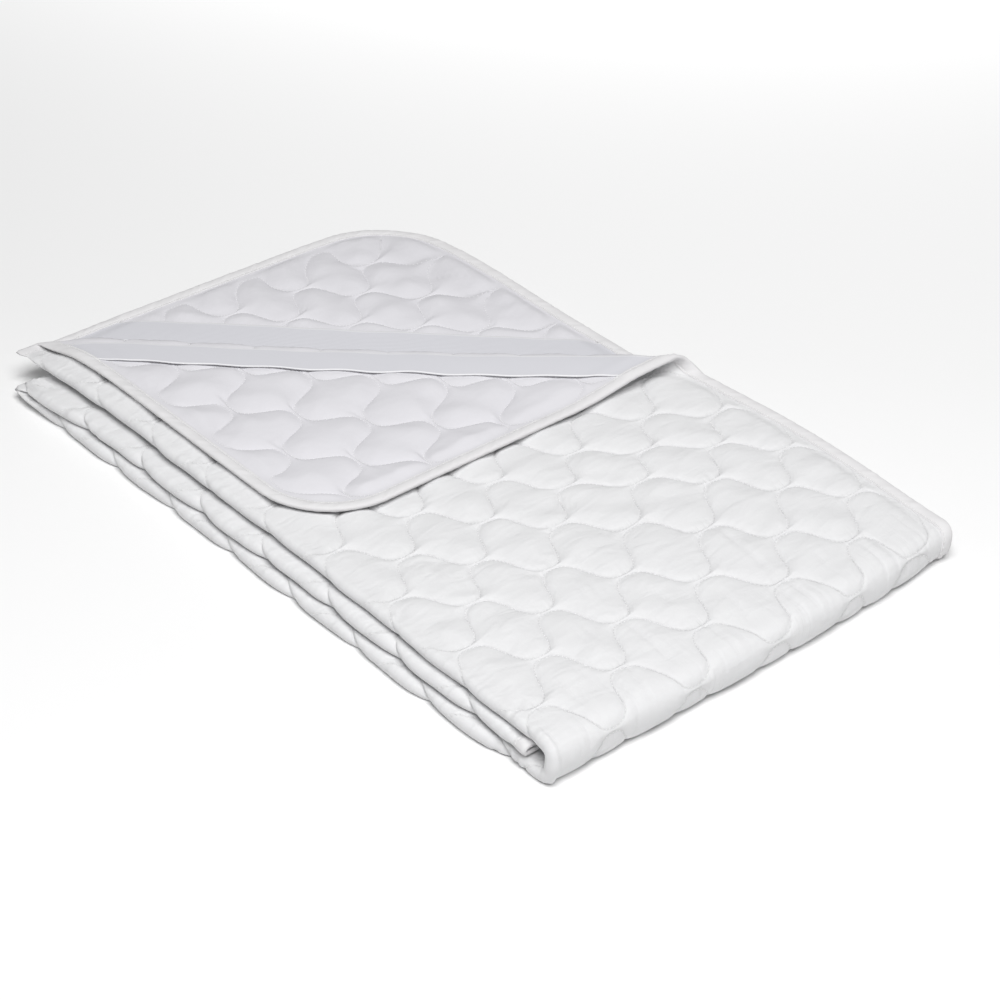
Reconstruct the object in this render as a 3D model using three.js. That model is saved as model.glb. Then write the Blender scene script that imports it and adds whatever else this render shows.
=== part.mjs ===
// Quilted mattress protector, folded: in half across its width, then in three along its length,
// with the loose top corner turned back so that its underside and corner elastics show.
// Millimetres. X runs along the folded pack, Y from its folded side to its bound side, Z up.
import * as THREE from 'three';
import { mergeVertices } from 'three/addons/utils/BufferGeometryUtils.js';

// The flat pad
const PAD_LENGTH = 2000;
const PAD_WIDTH = 800;
const CORNER_RADIUS = 72;
const LONG_FOLD = 408;
const LAYER_PITCH = 5.6;

// Where the folded pack lies
const FREE_END_X = -347;
const NEAR_FOLD_X = 331;
const FAR_FOLD_X = -317;
const BOTTOM_RUN_Z = 5.3;
const MIDDLE_RUN_Z = 16.5;
const TOP_RUN_Z = 27.7;
const FREE_END_LIFT = 3.7;

// The turned-back corner
const TURN_DISTANCE = 392;
const TIP_RADIUS = 3.6;
const HUMP_RADIUS = 9;
const FLAP_REST = 5.7;
const FLAP_DROP = 80;
const TURN_STEPS = 8;

// Quilting: mirrored wave lines that nearly meet, so the cells are staggered ovals
const HALF_CELL = 39.8;
const CELL_ROW = 39.6;
const FIRST_COLUMN = 55;
const FIRST_ROW = 33.5;
const WAVE = 18;
const PUFF_POWER = 0.8;

// Half thicknesses of the pad
const HALF_AT_EDGE = 1.0;
const HALF_AT_STITCH = 1.1;
const HALF_AT_PUFF = 2.2;
const HALF_AT_OPEN_PUFF = 3.2;
const HALF_ON_FLOOR = BOTTOM_RUN_Z - LAYER_PITCH / 2;

// Edge binding and corner elastics
const BINDING_LEG = 11;
const BINDING_CLOTH = 0.8;
const CLEARANCE = 0.5;
const BOUND_BAND = BINDING_LEG + 1;
const EDGE_RISE = 9;
const STRAP_WIDTH = 30;
const STRAP_THICKNESS = 1.0;
const STRAP_CLEARANCE = 0.6;
const UNDER_STRAP_DISTANCE = 338;
const FLAP_STRAP_DISTANCE = 351;

// Steps round the folds
const NEAR_FOLD_STEPS = 6;
const FAR_FOLD_STEPS = 5;
const SIDE_FOLD_STEPS = 4;

// Places along the pad's length, measured from the free end
const HALF_PITCH = LAYER_PITCH / 2;
const NEAR_RADIUS = (TOP_RUN_Z - BOTTOM_RUN_Z) / 2;
const FAR_RADIUS = (MIDDLE_RUN_Z - BOTTOM_RUN_Z) / 2;
const TOP_RUN_END = NEAR_FOLD_X - FREE_END_X;
const BOTTOM_RUN_START = TOP_RUN_END + Math.PI * NEAR_RADIUS;
const BOTTOM_RUN_END = BOTTOM_RUN_START + NEAR_FOLD_X - FAR_FOLD_X;
const MIDDLE_RUN_START = BOTTOM_RUN_END + Math.PI * FAR_RADIUS;

// Places across the pad, measured from the bound edge of its upper half
const SIDE_FOLD_START = LONG_FOLD - Math.PI * HALF_PITCH / 2;
const SIDE_FOLD_END = LONG_FOLD + Math.PI * HALF_PITCH / 2;

// How far out the long fold lies along the pack, uneven from run to run
const SIDE_FOLD_LINE = [
  { along: 0, y: -190 },
  { along: TOP_RUN_END * 0.5, y: -189 },
  { along: TOP_RUN_END, y: -191 },
  { along: BOTTOM_RUN_START, y: -196 },
  { along: BOTTOM_RUN_START + 60, y: -203 },
  { along: BOTTOM_RUN_START + 320, y: -208 },
  { along: BOTTOM_RUN_END, y: -212 },
  { along: MIDDLE_RUN_START, y: -211 },
  { along: MIDDLE_RUN_START + 160, y: -204 },
  { along: PAD_LENGTH, y: -196 },
];

// Soft dents and bulges of the whole pack: centre, reach and shift, with lift as a share of height
const SETTLING = [
  { x: 338, y: 205, reach: 60, dx: -4, dy: -3, lift: -0.04 },
  { x: 345, y: 10, reach: 140, dx: 4, dy: 0, lift: 0 },
  { x: -232, y: 200, reach: 110, dx: 0, dy: 4, lift: 0.04 },
  { x: -337, y: -200, reach: 60, dx: -4, dy: -6, lift: -0.12 },
  { x: 58, y: -200, reach: 120, dx: 0, dy: 2, lift: -0.03 },
  { x: 168, y: 215, reach: 100, dx: 0, dy: 6, lift: 0.02 },
];

// The folded corner under the free end is gathered to a closed tip
const TIP = { x: -335, y: -222, reach: 75, z: 10, share: 0.65 };
const TOP_RUN_UNDERSIDE = TOP_RUN_Z - LAYER_PITCH - 1.5;

function smoothStep(t) {
  const s = Math.min(Math.max(t, 0), 1);
  return s * s * (3 - 2 * s);
}

function sideFoldY(along) {
  const rows = SIDE_FOLD_LINE;
  if (along <= rows[0].along) return rows[0].y;
  for (let i = 1; i < rows.length; i += 1) {
    if (along <= rows[i].along) {
      const share = (along - rows[i - 1].along) / (rows[i].along - rows[i - 1].along);
      return rows[i - 1].y + (rows[i].y - rows[i - 1].y) * smoothStep(share);
    }
  }
  return rows[rows.length - 1].y;
}

function topRunZ(along) {
  return TOP_RUN_Z + FREE_END_LIFT * smoothStep(1 - along / TOP_RUN_END);
}

// Middle line of the folded pad along the pack, with the direction its outer half faces
function runAt(along) {
  if (along <= TOP_RUN_END) {
    return { x: FREE_END_X + along, z: topRunZ(along), nx: 0, nz: 1 };
  }
  if (along <= BOTTOM_RUN_START) {
    const turn = (along - TOP_RUN_END) / NEAR_RADIUS;
    const nx = Math.sin(turn);
    const nz = Math.cos(turn);
    return {
      x: NEAR_FOLD_X + NEAR_RADIUS * nx,
      z: (TOP_RUN_Z + BOTTOM_RUN_Z) / 2 + NEAR_RADIUS * nz,
      nx,
      nz,
    };
  }
  if (along <= BOTTOM_RUN_END) {
    return { x: NEAR_FOLD_X - (along - BOTTOM_RUN_START), z: BOTTOM_RUN_Z, nx: 0, nz: -1 };
  }
  if (along <= MIDDLE_RUN_START) {
    const turn = (along - BOTTOM_RUN_END) / FAR_RADIUS;
    const nx = -Math.sin(turn);
    const nz = -Math.cos(turn);
    return {
      x: FAR_FOLD_X + FAR_RADIUS * nx,
      z: (MIDDLE_RUN_Z + BOTTOM_RUN_Z) / 2 + FAR_RADIUS * nz,
      nx,
      nz,
    };
  }
  return { x: FAR_FOLD_X + along - MIDDLE_RUN_START, z: MIDDLE_RUN_Z, nx: 0, nz: 1 };
}

// Section across the folded pad: its two halves and the long fold between them
function sectionAt(along, across) {
  const side = sideFoldY(along);
  if (across < SIDE_FOLD_START) {
    return { y: side + SIDE_FOLD_START - across, offset: HALF_PITCH, ny: 0, no: 1 };
  }
  if (across > SIDE_FOLD_END) {
    return { y: side + across - SIDE_FOLD_END, offset: -HALF_PITCH, ny: 0, no: -1 };
  }
  const turn = (across - SIDE_FOLD_START) / HALF_PITCH;
  return {
    y: side - HALF_PITCH * Math.sin(turn),
    offset: HALF_PITCH * Math.cos(turn),
    ny: -Math.sin(turn),
    no: Math.cos(turn),
  };
}

function turnRadius(along, across) {
  const share = 0.5 + (along - across) / (2 * TURN_DISTANCE);
  return TIP_RADIUS + (HUMP_RADIUS - TIP_RADIUS) * Math.min(Math.max(share, 0), 1);
}

// Distance past the line where the corner starts to turn back, towards the corner
function pastTurn(along, across, radius) {
  return (TURN_DISTANCE - along - across) / Math.SQRT2 + Math.PI * radius / 2;
}

function turnedBack(along, across, out, radius, past) {
  const angle = Math.min(past / radius, Math.PI);
  const flat = Math.max(past - Math.PI * radius, 0);
  const onArc = flat === 0;
  const drop = smoothStep(flat / FLAP_DROP);
  const rise = onArc
    ? radius * (1 - Math.cos(angle))
    : FLAP_REST + (2 * radius - FLAP_REST) * (1 - drop);
  const reach = onArc ? (radius - out) * Math.sin(angle) : -flat;
  const footAlong = along + past / Math.SQRT2;
  const footAcross = across + past / Math.SQRT2;
  const overAlong = footAlong - reach / Math.SQRT2;
  return {
    x: FREE_END_X + overAlong,
    y: sideFoldY(footAlong) + SIDE_FOLD_START - footAcross + reach / Math.SQRT2,
    z: topRunZ(overAlong) + HALF_PITCH + rise + out * (onArc ? Math.cos(angle) : -1),
  };
}

function settled(p) {
  let dx = 0;
  let dy = 0;
  let lift = 1;
  for (const dent of SETTLING) {
    const away = Math.hypot(p.x - dent.x, p.y - dent.y) / dent.reach;
    const share = Math.exp(-away * away);
    dx += dent.dx * share;
    dy += dent.dy * share;
    lift += dent.lift * share;
  }
  const fromTip = Math.hypot(p.x - TIP.x, p.y - TIP.y) / TIP.reach;
  const pinch = TIP.share * smoothStep(1 - fromTip) * smoothStep((TOP_RUN_UNDERSIDE + 2 - p.z) / 2);
  const level = Math.abs(p.z) < 1e-6 ? 0 : p.z * lift;
  return new THREE.Vector3(p.x + dx, p.y + dy, level + (TIP.z - level) * pinch);
}

// A point of the cloth: along and across the flat pad, and out from its middle towards its top side
function place(along, across, out) {
  const radius = turnRadius(along, across);
  const past = pastTurn(along, across, radius);
  if (past > 0 && across < SIDE_FOLD_START && along < TOP_RUN_END) {
    return settled(turnedBack(along, across, out, radius, past));
  }
  const section = sectionAt(along, across);
  const run = runAt(along);
  const height = section.offset + section.no * out;
  return settled({
    x: run.x + height * run.nx,
    y: section.y + section.ny * out,
    z: run.z + height * run.nz,
  });
}

// Stitched wave line number n at a place across the pad
function stitchLine(n, across) {
  const swing = WAVE * Math.cos(Math.PI * (across - FIRST_ROW) / CELL_ROW);
  return FIRST_COLUMN + HALF_CELL * (n - 0.5) + (n % 2 === 0 ? swing : -swing);
}

// 0 on a stitch line, 1 at the middle of a cell
function puff(along, across) {
  let n = Math.floor((along - FIRST_COLUMN) / HALF_CELL);
  while (stitchLine(n + 1, across) < along) n += 1;
  while (stitchLine(n, across) > along) n -= 1;
  const left = stitchLine(n, across);
  const right = stitchLine(n + 1, across);
  const half = (right - left) / 2;
  const t = Math.min(Math.abs(along - left - half) / half, 1);
  return Math.pow(1 - t * t, PUFF_POWER) * (2 * half / (HALF_CELL + 2 * WAVE));
}

function edgeDistance(along, across) {
  const a = Math.min(along, PAD_LENGTH - along);
  const b = Math.min(across, PAD_WIDTH - across);
  if (a > CORNER_RADIUS || b > CORNER_RADIUS) return Math.min(a, b);
  return CORNER_RADIUS - Math.hypot(CORNER_RADIUS - a, CORNER_RADIUS - b);
}

// 1 where this side of the cloth is open to view, so its cells stand at full height
function open(along, across, side) {
  const soft = 14;
  const fromCorner = along + across;
  const fromUnderCorner = along + PAD_WIDTH - across;
  if (side > 0) {
    if (across > SIDE_FOLD_START || along > TOP_RUN_END) return 0;
    return smoothStep((along - TURN_DISTANCE - 8) / soft);
  }
  const corner = across < SIDE_FOLD_START ? fromCorner : fromUnderCorner;
  const strap = across < SIDE_FOLD_START ? FLAP_STRAP_DISTANCE : UNDER_STRAP_DISTANCE;
  const strapEdge = strap - STRAP_WIDTH / Math.SQRT2;
  return smoothStep((strapEdge - corner - 4) / soft);
}

function halfThickness(along, across, side) {
  const rise = smoothStep((edgeDistance(along, across) - BOUND_BAND) / EDGE_RISE);
  const onFloor = side > 0 && across < SIDE_FOLD_START - 16
    && along > BOTTOM_RUN_START + 1 && along < BOTTOM_RUN_END - 1;
  const crown = HALF_AT_PUFF + (HALF_AT_OPEN_PUFF - HALF_AT_PUFF) * open(along, across, side);
  const full = onFloor
    ? HALF_ON_FLOOR
    : HALF_AT_STITCH + (crown - HALF_AT_STITCH) * puff(along, across);
  return HALF_AT_EDGE + (full - HALF_AT_EDGE) * rise;
}

// Where turning line k crosses a row, or, with no row, where it meets the free end
function turnLine(k, across) {
  let along = across === null ? 0 : TURN_DISTANCE - across;
  let row = across === null ? TURN_DISTANCE : across;
  for (let i = 0; i < 30; i += 1) {
    const radius = turnRadius(along, row);
    const sum = TURN_DISTANCE + Math.PI * radius * (1 - 2 * k / TURN_STEPS) / Math.SQRT2;
    const gap = sum - along - row;
    if (across === null) row += gap * 0.7;
    else along += gap * 0.7;
  }
  return across === null ? row : along;
}

// Rows run the length of the pad: its bands, half cells, turning lines at the tip and long fold
function padRows() {
  const half = CELL_ROW / 2;
  const rows = [0, 2.6, BOUND_BAND];
  for (let v = FIRST_ROW; v < turnLine(TURN_STEPS, null) - 6; v += half) rows.push(v);
  for (let k = TURN_STEPS; k >= 1; k -= 1) rows.push(turnLine(k, null));
  for (let k = 0; k <= SIDE_FOLD_STEPS; k += 1) {
    rows.push(SIDE_FOLD_START + (SIDE_FOLD_END - SIDE_FOLD_START) * k / SIDE_FOLD_STEPS);
  }
  const beyond = Math.ceil((SIDE_FOLD_END + 12 - FIRST_ROW) / half);
  for (let v = FIRST_ROW + beyond * half; v < PAD_WIDTH - 20; v += half) rows.push(v);
  rows.push(PAD_WIDTH - BOUND_BAND, PAD_WIDTH - 2.6, PAD_WIDTH);
  return rows;
}

// How far a row starts from the end of the pad, which is round at its corners
function rowStart(across, inset) {
  const b = Math.min(across, PAD_WIDTH - across);
  if (b >= CORNER_RADIUS) return inset;
  const radius = CORNER_RADIUS - inset;
  const rest = radius * radius - (CORNER_RADIUS - b) * (CORNER_RADIUS - b);
  return CORNER_RADIUS - Math.sqrt(Math.max(rest, 0));
}

function inBand(across) {
  return Math.min(across, PAD_WIDTH - across) < BOUND_BAND + 0.01;
}

// How many points the cells of a place get: 1 is every line and middle, 8 is one cell in four
function spacingAt(along, across, side) {
  if (inBand(across) && along < TURN_DISTANCE) return 1;
  if (inBand(across)) return along < TOP_RUN_END ? 2 : 8;
  if (Math.abs(across - LONG_FOLD) < CELL_ROW) return along < TOP_RUN_END ? 1 : 2;
  if (along > TOP_RUN_END) return 8;
  const upper = across < LONG_FOLD;
  if (side > 0) return upper && along > TURN_DISTANCE - 10 ? 1 : 8;
  const fromCorner = along + (upper ? across : PAD_WIDTH - across);
  return fromCorner < TURN_DISTANCE + 10 ? 1 : 8;
}

// Points of a row on its stitch lines and cell middles; a key is a point's nominal place
function cellPoints(from, to, across, side) {
  const clear = 8;
  const points = [];
  const first = Math.ceil(2 * (from - FIRST_COLUMN) / HALF_CELL);
  for (let n = first; FIRST_COLUMN + n * HALF_CELL / 2 < to; n += 1) {
    const key = FIRST_COLUMN + n * HALF_CELL / 2;
    const along = n % 2 === 0 || inBand(across) ? key : stitchLine((n + 1) / 2, across);
    const wanted = n % spacingAt(key, across, side) === 0;
    const fits = Math.min(along, key) > from + clear && Math.max(along, key) < to - clear;
    if (wanted && fits) points.push({ along, key });
  }
  return points;
}

function foldPoints(from, to, steps) {
  const points = [];
  for (let k = 0; k <= steps; k += 1) {
    points.push({ along: from + (to - from) * k / steps, key: k });
  }
  return points;
}

// A stretch of a row from one place to another, with the cell points between them
function stretch(from, to, across, side, band = 0) {
  const before = -band;
  const points = [{ along: from, key: -1e6 }];
  if (before > 0) points.push({ along: before, key: -1e5 });
  points.push(...cellPoints(points[points.length - 1].along, band > 0 ? band : to, across, side));
  if (band > 0) points.push({ along: band, key: 1e5 });
  points.push({ along: to, key: 1e6 });
  return points;
}

// A row as stretches that pair one to one with those of the next row
function rowStretches(across, side) {
  const start = rowStart(across, 0);
  const end = PAD_LENGTH - start;
  const band = inBand(across) ? 0 : rowStart(across, BOUND_BAND);
  const turns = [];
  for (let k = TURN_STEPS; k >= 0 && across < SIDE_FOLD_START - 0.01; k -= 1) {
    turns.push({ along: turnLine(k, across), key: -k });
  }
  const beyond = turns.filter((turn) => turn.along > start + 0.01);
  const whole = beyond.length === turns.length && turns.length > 0;
  const flap = whole
    ? stretch(start, turns[0].along, across, side, band < turns[0].along - 4 ? -band : 0)
    : [{ along: start, key: -1e6 }];
  const turn = whole ? turns : [{ along: start, key: -beyond.length }, ...beyond];
  const topStart = turn[turn.length - 1].along;
  const topBand = !whole && band > topStart + 1 ? -band : 0;
  const endBand = band === 0 ? 0 : PAD_LENGTH - band;
  return [
    flap,
    turn,
    stretch(topStart, TOP_RUN_END, across, side, topBand),
    foldPoints(TOP_RUN_END, BOTTOM_RUN_START, NEAR_FOLD_STEPS),
    stretch(BOTTOM_RUN_START, BOTTOM_RUN_END, across, side),
    foldPoints(BOTTOM_RUN_END, MIDDLE_RUN_START, FAR_FOLD_STEPS),
    stretch(MIDDLE_RUN_START, end, across, side, endBand),
  ];
}

// Triangles between two stretches, each step taken on the side whose next key is the lower
function zip(a, b, acrossA, acrossB, emit) {
  let i = 0;
  let j = 0;
  while (i < a.length - 1 || j < b.length - 1) {
    const nextA = i < a.length - 1 ? a[i + 1].key : Infinity;
    const nextB = j < b.length - 1 ? b[j + 1].key : Infinity;
    let takeA = nextA < nextB;
    if (nextA === nextB) {
      takeA = Math.abs(a[i + 1].along - b[j].along) <= Math.abs(b[j + 1].along - a[i].along);
    }
    if (takeA) {
      emit([a[i].along, acrossA], [a[i + 1].along, acrossA], [b[j].along, acrossB]);
      i += 1;
    } else {
      emit([a[i].along, acrossA], [b[j + 1].along, acrossB], [b[j].along, acrossB]);
      j += 1;
    }
  }
}

function solidFrom(triangles) {
  const geometry = new THREE.BufferGeometry();
  const numbers = triangles.flatMap((corner) => [corner.x, corner.y, corner.z]);
  geometry.setAttribute('position', new THREE.Float32BufferAttribute(numbers, 3));
  const merged = mergeVertices(geometry, 2e-3);
  const index = Array.from(merged.index.array);
  const kept = [];
  for (let i = 0; i < index.length; i += 3) {
    const [p, q, r] = [index[i], index[i + 1], index[i + 2]];
    if (p !== q && q !== r && r !== p) kept.push(p, q, r);
  }
  merged.setIndex(kept);
  merged.computeVertexNormals();
  return merged;
}

// The pad's edge in order, one place for each point of its outermost rows and each row's ends
function padEdge(rows) {
  const places = (row) => {
    const points = rowStretches(row, 1).flat().map((p) => [p.along, row]);
    return points.filter((p, i) => i === 0 || p[0] - points[i - 1][0] > 0.01);
  };
  const inner = rows.slice(1, -1);
  return [
    ...places(rows[0]),
    ...inner.map((row) => [PAD_LENGTH - rowStart(row, 0), row]),
    ...places(rows[rows.length - 1]).reverse(),
    ...inner.map((row) => [rowStart(row, 0), row]).reverse(),
  ];
}

const ROWS = padRows();
const EDGE = padEdge(ROWS);

function padGeometry() {
  const corners = [];
  const surface = (side) => ([along, across]) => (
    place(along, across, side * halfThickness(along, across, side))
  );
  for (const side of [1, -1]) {
    const at = surface(side);
    for (let r = 0; r < ROWS.length - 1; r += 1) {
      const near = rowStretches(ROWS[r], side);
      const far = rowStretches(ROWS[r + 1], side);
      near.forEach((part, i) => {
        zip(part, far[i], ROWS[r], ROWS[r + 1], (p, q, s) => {
          corners.push(...(side > 0 ? [at(p), at(s), at(q)] : [at(p), at(q), at(s)]));
        });
      });
    }
  }
  const top = surface(1);
  const under = surface(-1);
  EDGE.forEach((p, i) => {
    const q = EDGE[(i + 1) % EDGE.length];
    corners.push(top(p), top(q), under(q), top(p), under(q), under(p));
  });
  return solidFrom(corners);
}

// How far a section of the binding leans over to lie along the turning lines: 1 is all the way
function leanAt(along, across) {
  const sum = along + across;
  const halfTurn = Math.PI * turnRadius(along, across) / Math.SQRT2;
  if (across > LONG_FOLD || sum > TURN_DISTANCE + halfTurn + 0.05) return 0;
  const before = TURN_DISTANCE - halfTurn - sum;
  return Math.min(Math.max(1 - before / (BINDING_LEG + 1), 0), 1);
}

// Direction from the edge into the pad, on the flat
function inward([along, across]) {
  const lean = leanAt(along, across);
  if (lean > 0) return along < across ? [1, -lean] : [-lean, 1];
  const a = Math.min(along, PAD_LENGTH - along);
  const b = Math.min(across, PAD_WIDTH - across);
  const da = a < CORNER_RADIUS && b < CORNER_RADIUS ? CORNER_RADIUS - a : Number(a < b);
  const db = a < CORNER_RADIUS && b < CORNER_RADIUS ? CORNER_RADIUS - b : Number(b <= a);
  const size = Math.hypot(da, db);
  return [
    (along < PAD_LENGTH / 2 ? da : -da) / size,
    (across < PAD_WIDTH / 2 ? db : -db) / size,
  ];
}

// A closed solid of like sections, swept from one to the next and round again where it is a loop
function sweep(sections, loop) {
  const corners = [];
  const count = sections[0].length;
  const last = loop ? sections.length : sections.length - 1;
  for (let s = 0; s < last; s += 1) {
    const a = sections[s];
    const b = sections[(s + 1) % sections.length];
    for (let k = 0; k < count; k += 1) {
      const n = (k + 1) % count;
      corners.push(a[k], b[k], b[n], a[k], b[n], a[n]);
    }
  }
  if (!loop) {
    const end = sections[sections.length - 1];
    for (let k = 1; k < count - 1; k += 1) {
      corners.push(sections[0][0], sections[0][k], sections[0][k + 1]);
      corners.push(end[0], end[k + 1], end[k]);
    }
  }
  return solidFrom(corners);
}

// Bias binding, folded over the edge of the pad and sewn through
function bindingGeometry() {
  const inner = HALF_AT_EDGE + CLEARANCE;
  const outer = inner + BINDING_CLOTH;
  const profile = [
    { inset: BINDING_LEG, out: outer },
    { inset: 0, out: outer },
    { inset: -CLEARANCE - BINDING_CLOTH, out: 0 },
    { inset: 0, out: -outer },
    { inset: BINDING_LEG, out: -outer },
    { inset: BINDING_LEG, out: -inner },
    { inset: -CLEARANCE, out: -inner },
    { inset: -CLEARANCE, out: inner },
    { inset: BINDING_LEG, out: inner },
  ];
  const sections = EDGE.map((spot) => {
    const [da, db] = inward(spot);
    return profile.map(({ inset, out }) => (
      place(spot[0] + da * inset, spot[1] + db * inset, out)
    ));
  });
  return sweep(sections, true);
}

// Flat elastic across a corner on the underside, from binding to binding
function strapGeometry(distance, underHalf) {
  const steps = 24;
  const across = 5;
  const endInset = BINDING_LEG + CLEARANCE;
  const half = STRAP_WIDTH / Math.SQRT2;
  const sections = [];
  for (let s = 0; s <= steps; s += 1) {
    const section = [];
    for (const face of [0, 1]) {
      for (let k = 0; k <= across; k += 1) {
        const share = face === 0 ? k / across : 1 - k / across;
        const sum = distance - half + 2 * half * share;
        const a = endInset + (sum - 2 * endInset) * s / steps;
        const b = sum - a;
        const rise = smoothStep((Math.min(a, b) - endInset) / EDGE_RISE);
        const inner = HALF_AT_EDGE + (HALF_AT_PUFF - HALF_AT_EDGE) * rise + STRAP_CLEARANCE;
        const out = -inner - face * STRAP_THICKNESS;
        section.push(place(a, underHalf ? PAD_WIDTH - b : b, out));
      }
    }
    sections.push(underHalf ? section : section.reverse());
  }
  return sweep(sections, false);
}

function cloth(color, roughness) {
  return new THREE.MeshStandardMaterial({ color, roughness, metalness: 0 });
}

const protector = new THREE.Group();
const pieces = [
  { name: 'quilted_pad', geometry: padGeometry(), material: cloth(0xf4f4f5, 0.75) },
  { name: 'edge_binding', geometry: bindingGeometry(), material: cloth(0xefecef, 0.8) },
  {
    name: 'corner_elastic_flap',
    geometry: strapGeometry(FLAP_STRAP_DISTANCE, false),
    material: cloth(0xdfdfe8, 0.85),
  },
  {
    name: 'corner_elastic_under',
    geometry: strapGeometry(UNDER_STRAP_DISTANCE, true),
    material: cloth(0xdadde6, 0.85),
  },
];
for (const piece of pieces) {
  const mesh = new THREE.Mesh(piece.geometry, piece.material);
  mesh.name = piece.name;
  protector.add(mesh);
}

export default protector;
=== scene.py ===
"""A quilted mattress protector, folded in half and then in three, with one corner turned back.

Metres, in the part's own frame: X along the folded pack, Y from its folded side to its bound
side, Z up from the surface it lies on.
"""

import bmesh
import bpy
import numpy as np
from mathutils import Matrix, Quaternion, Vector


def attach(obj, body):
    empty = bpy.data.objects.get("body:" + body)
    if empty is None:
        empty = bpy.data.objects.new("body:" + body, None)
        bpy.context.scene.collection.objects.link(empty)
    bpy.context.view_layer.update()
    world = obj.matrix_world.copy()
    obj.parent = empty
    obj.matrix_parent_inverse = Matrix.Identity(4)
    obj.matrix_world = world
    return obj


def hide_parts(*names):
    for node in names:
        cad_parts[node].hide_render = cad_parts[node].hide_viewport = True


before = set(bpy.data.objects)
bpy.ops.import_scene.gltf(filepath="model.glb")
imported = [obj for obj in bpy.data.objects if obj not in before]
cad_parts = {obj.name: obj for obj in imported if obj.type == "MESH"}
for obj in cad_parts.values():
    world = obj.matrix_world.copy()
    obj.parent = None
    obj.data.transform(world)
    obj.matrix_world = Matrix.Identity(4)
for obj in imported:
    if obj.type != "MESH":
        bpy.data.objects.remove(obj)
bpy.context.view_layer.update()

# The camera
# It stands where the photo was taken from, on the side of the folded edge and the near fold.
# Its place was fitted to the outlines of the pack, at the pack's real size.
CAMERA_AZIMUTH = np.radians(50.459)
CAMERA_ELEVATION = np.radians(34.321)
CAMERA_ROLL = np.radians(-0.382)
CAMERA_DISTANCE = 1.872
CAMERA_TARGET = Vector((0.0572, -0.0045, 0))
CAMERA_LENS = 84.28

camera = bpy.data.objects.new("camera", bpy.data.cameras.new("camera"))
camera.data.sensor_width = 36
camera.data.lens = CAMERA_LENS
towards_camera = Vector((
    np.sin(CAMERA_AZIMUTH) * np.cos(CAMERA_ELEVATION),
    -np.cos(CAMERA_AZIMUTH) * np.cos(CAMERA_ELEVATION),
    np.sin(CAMERA_ELEVATION),
))
camera.location = CAMERA_TARGET + towards_camera * CAMERA_DISTANCE
camera.rotation_mode = "QUATERNION"
camera.rotation_quaternion = (
    (-towards_camera).to_track_quat("-Z", "Y") @ Quaternion((0, 0, 1), CAMERA_ROLL)
)
bpy.context.collection.objects.link(camera)
bpy.context.scene.camera = camera

# How the cloth is folded
# The protector is one quilted rectangle. It is folded in half across its width, top side out, and
# then in three along its length. The upper layer's loose corner is turned back at 45 degrees.
mm = 0.001
PAD_LENGTH = 2000 * mm
PAD_WIDTH = 800 * mm
CORNER_RADIUS = 72 * mm
LONG_FOLD = 408 * mm
LAYER_PITCH = 5.6 * mm
FREE_END_X = -347 * mm
NEAR_FOLD_X = 331 * mm
FAR_FOLD_X = -317 * mm
BOTTOM_RUN_Z = 5.3 * mm
MIDDLE_RUN_Z = 16.5 * mm
TOP_RUN_Z = 27.7 * mm
FREE_END_LIFT = 3.7 * mm
NEAR_FOLD_ROUNDNESS = 0.66
# the inner run is drawn out, so that its free end lies close inside the near fold
MIDDLE_RUN_EASE = 1.026
# the corner is turned back where the places along and across the pad add up to this
TURN_DISTANCE = 392 * mm
TIP_RADIUS = 3.6 * mm
HUMP_RADIUS = 9 * mm
HUMP_ONSET = 1.7
FLAP_REST = 5.7 * mm
FLAP_DROP = 80 * mm
FLAP_EDGE_LIFT = 3.6 * mm
FLAP_EDGE_REACH = 34 * mm

HALF_PITCH = LAYER_PITCH / 2
NEAR_RADIUS = (TOP_RUN_Z - BOTTOM_RUN_Z) / 2
FAR_RADIUS = (MIDDLE_RUN_Z - BOTTOM_RUN_Z) / 2
TOP_RUN_END = NEAR_FOLD_X - FREE_END_X
BOTTOM_RUN_START = TOP_RUN_END + np.pi * NEAR_RADIUS
BOTTOM_RUN_END = BOTTOM_RUN_START + NEAR_FOLD_X - FAR_FOLD_X
MIDDLE_RUN_START = BOTTOM_RUN_END + np.pi * FAR_RADIUS
SIDE_FOLD_START = LONG_FOLD - np.pi * HALF_PITCH / 2
SIDE_FOLD_END = LONG_FOLD + np.pi * HALF_PITCH / 2

# place along the pad, and how far out the long fold lies there
SIDE_FOLD_LINE = np.array([
    (0, -190 * mm),
    (TOP_RUN_END * 0.5, -189 * mm),
    (TOP_RUN_END, -191 * mm),
    (BOTTOM_RUN_START, -196 * mm),
    (BOTTOM_RUN_START + 60 * mm, -203 * mm),
    (BOTTOM_RUN_START + 320 * mm, -208 * mm),
    (BOTTOM_RUN_END, -212 * mm),
    (MIDDLE_RUN_START, -211 * mm),
    (MIDDLE_RUN_START + 160 * mm, -204 * mm),
    (PAD_LENGTH, -196 * mm),
])

# soft dents and bulges of the whole pack: centre x, y, reach, shift x, y, and lift as a share
SETTLING = [
    (338 * mm, 205 * mm, 60 * mm, -4 * mm, -3 * mm, -0.04),
    (345 * mm, 10 * mm, 140 * mm, 4 * mm, 0, 0),
    (-232 * mm, 200 * mm, 110 * mm, 0, 4 * mm, 0.04),
    (-345 * mm, 215 * mm, 75 * mm, 1 * mm, -3 * mm, -0.16),
    (-337 * mm, -200 * mm, 60 * mm, -4 * mm, -6 * mm, -0.12),
    (58 * mm, -200 * mm, 120 * mm, 0, 2 * mm, -0.03),
    (168 * mm, 215 * mm, 100 * mm, 0, 6 * mm, 0.02),
]
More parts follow.
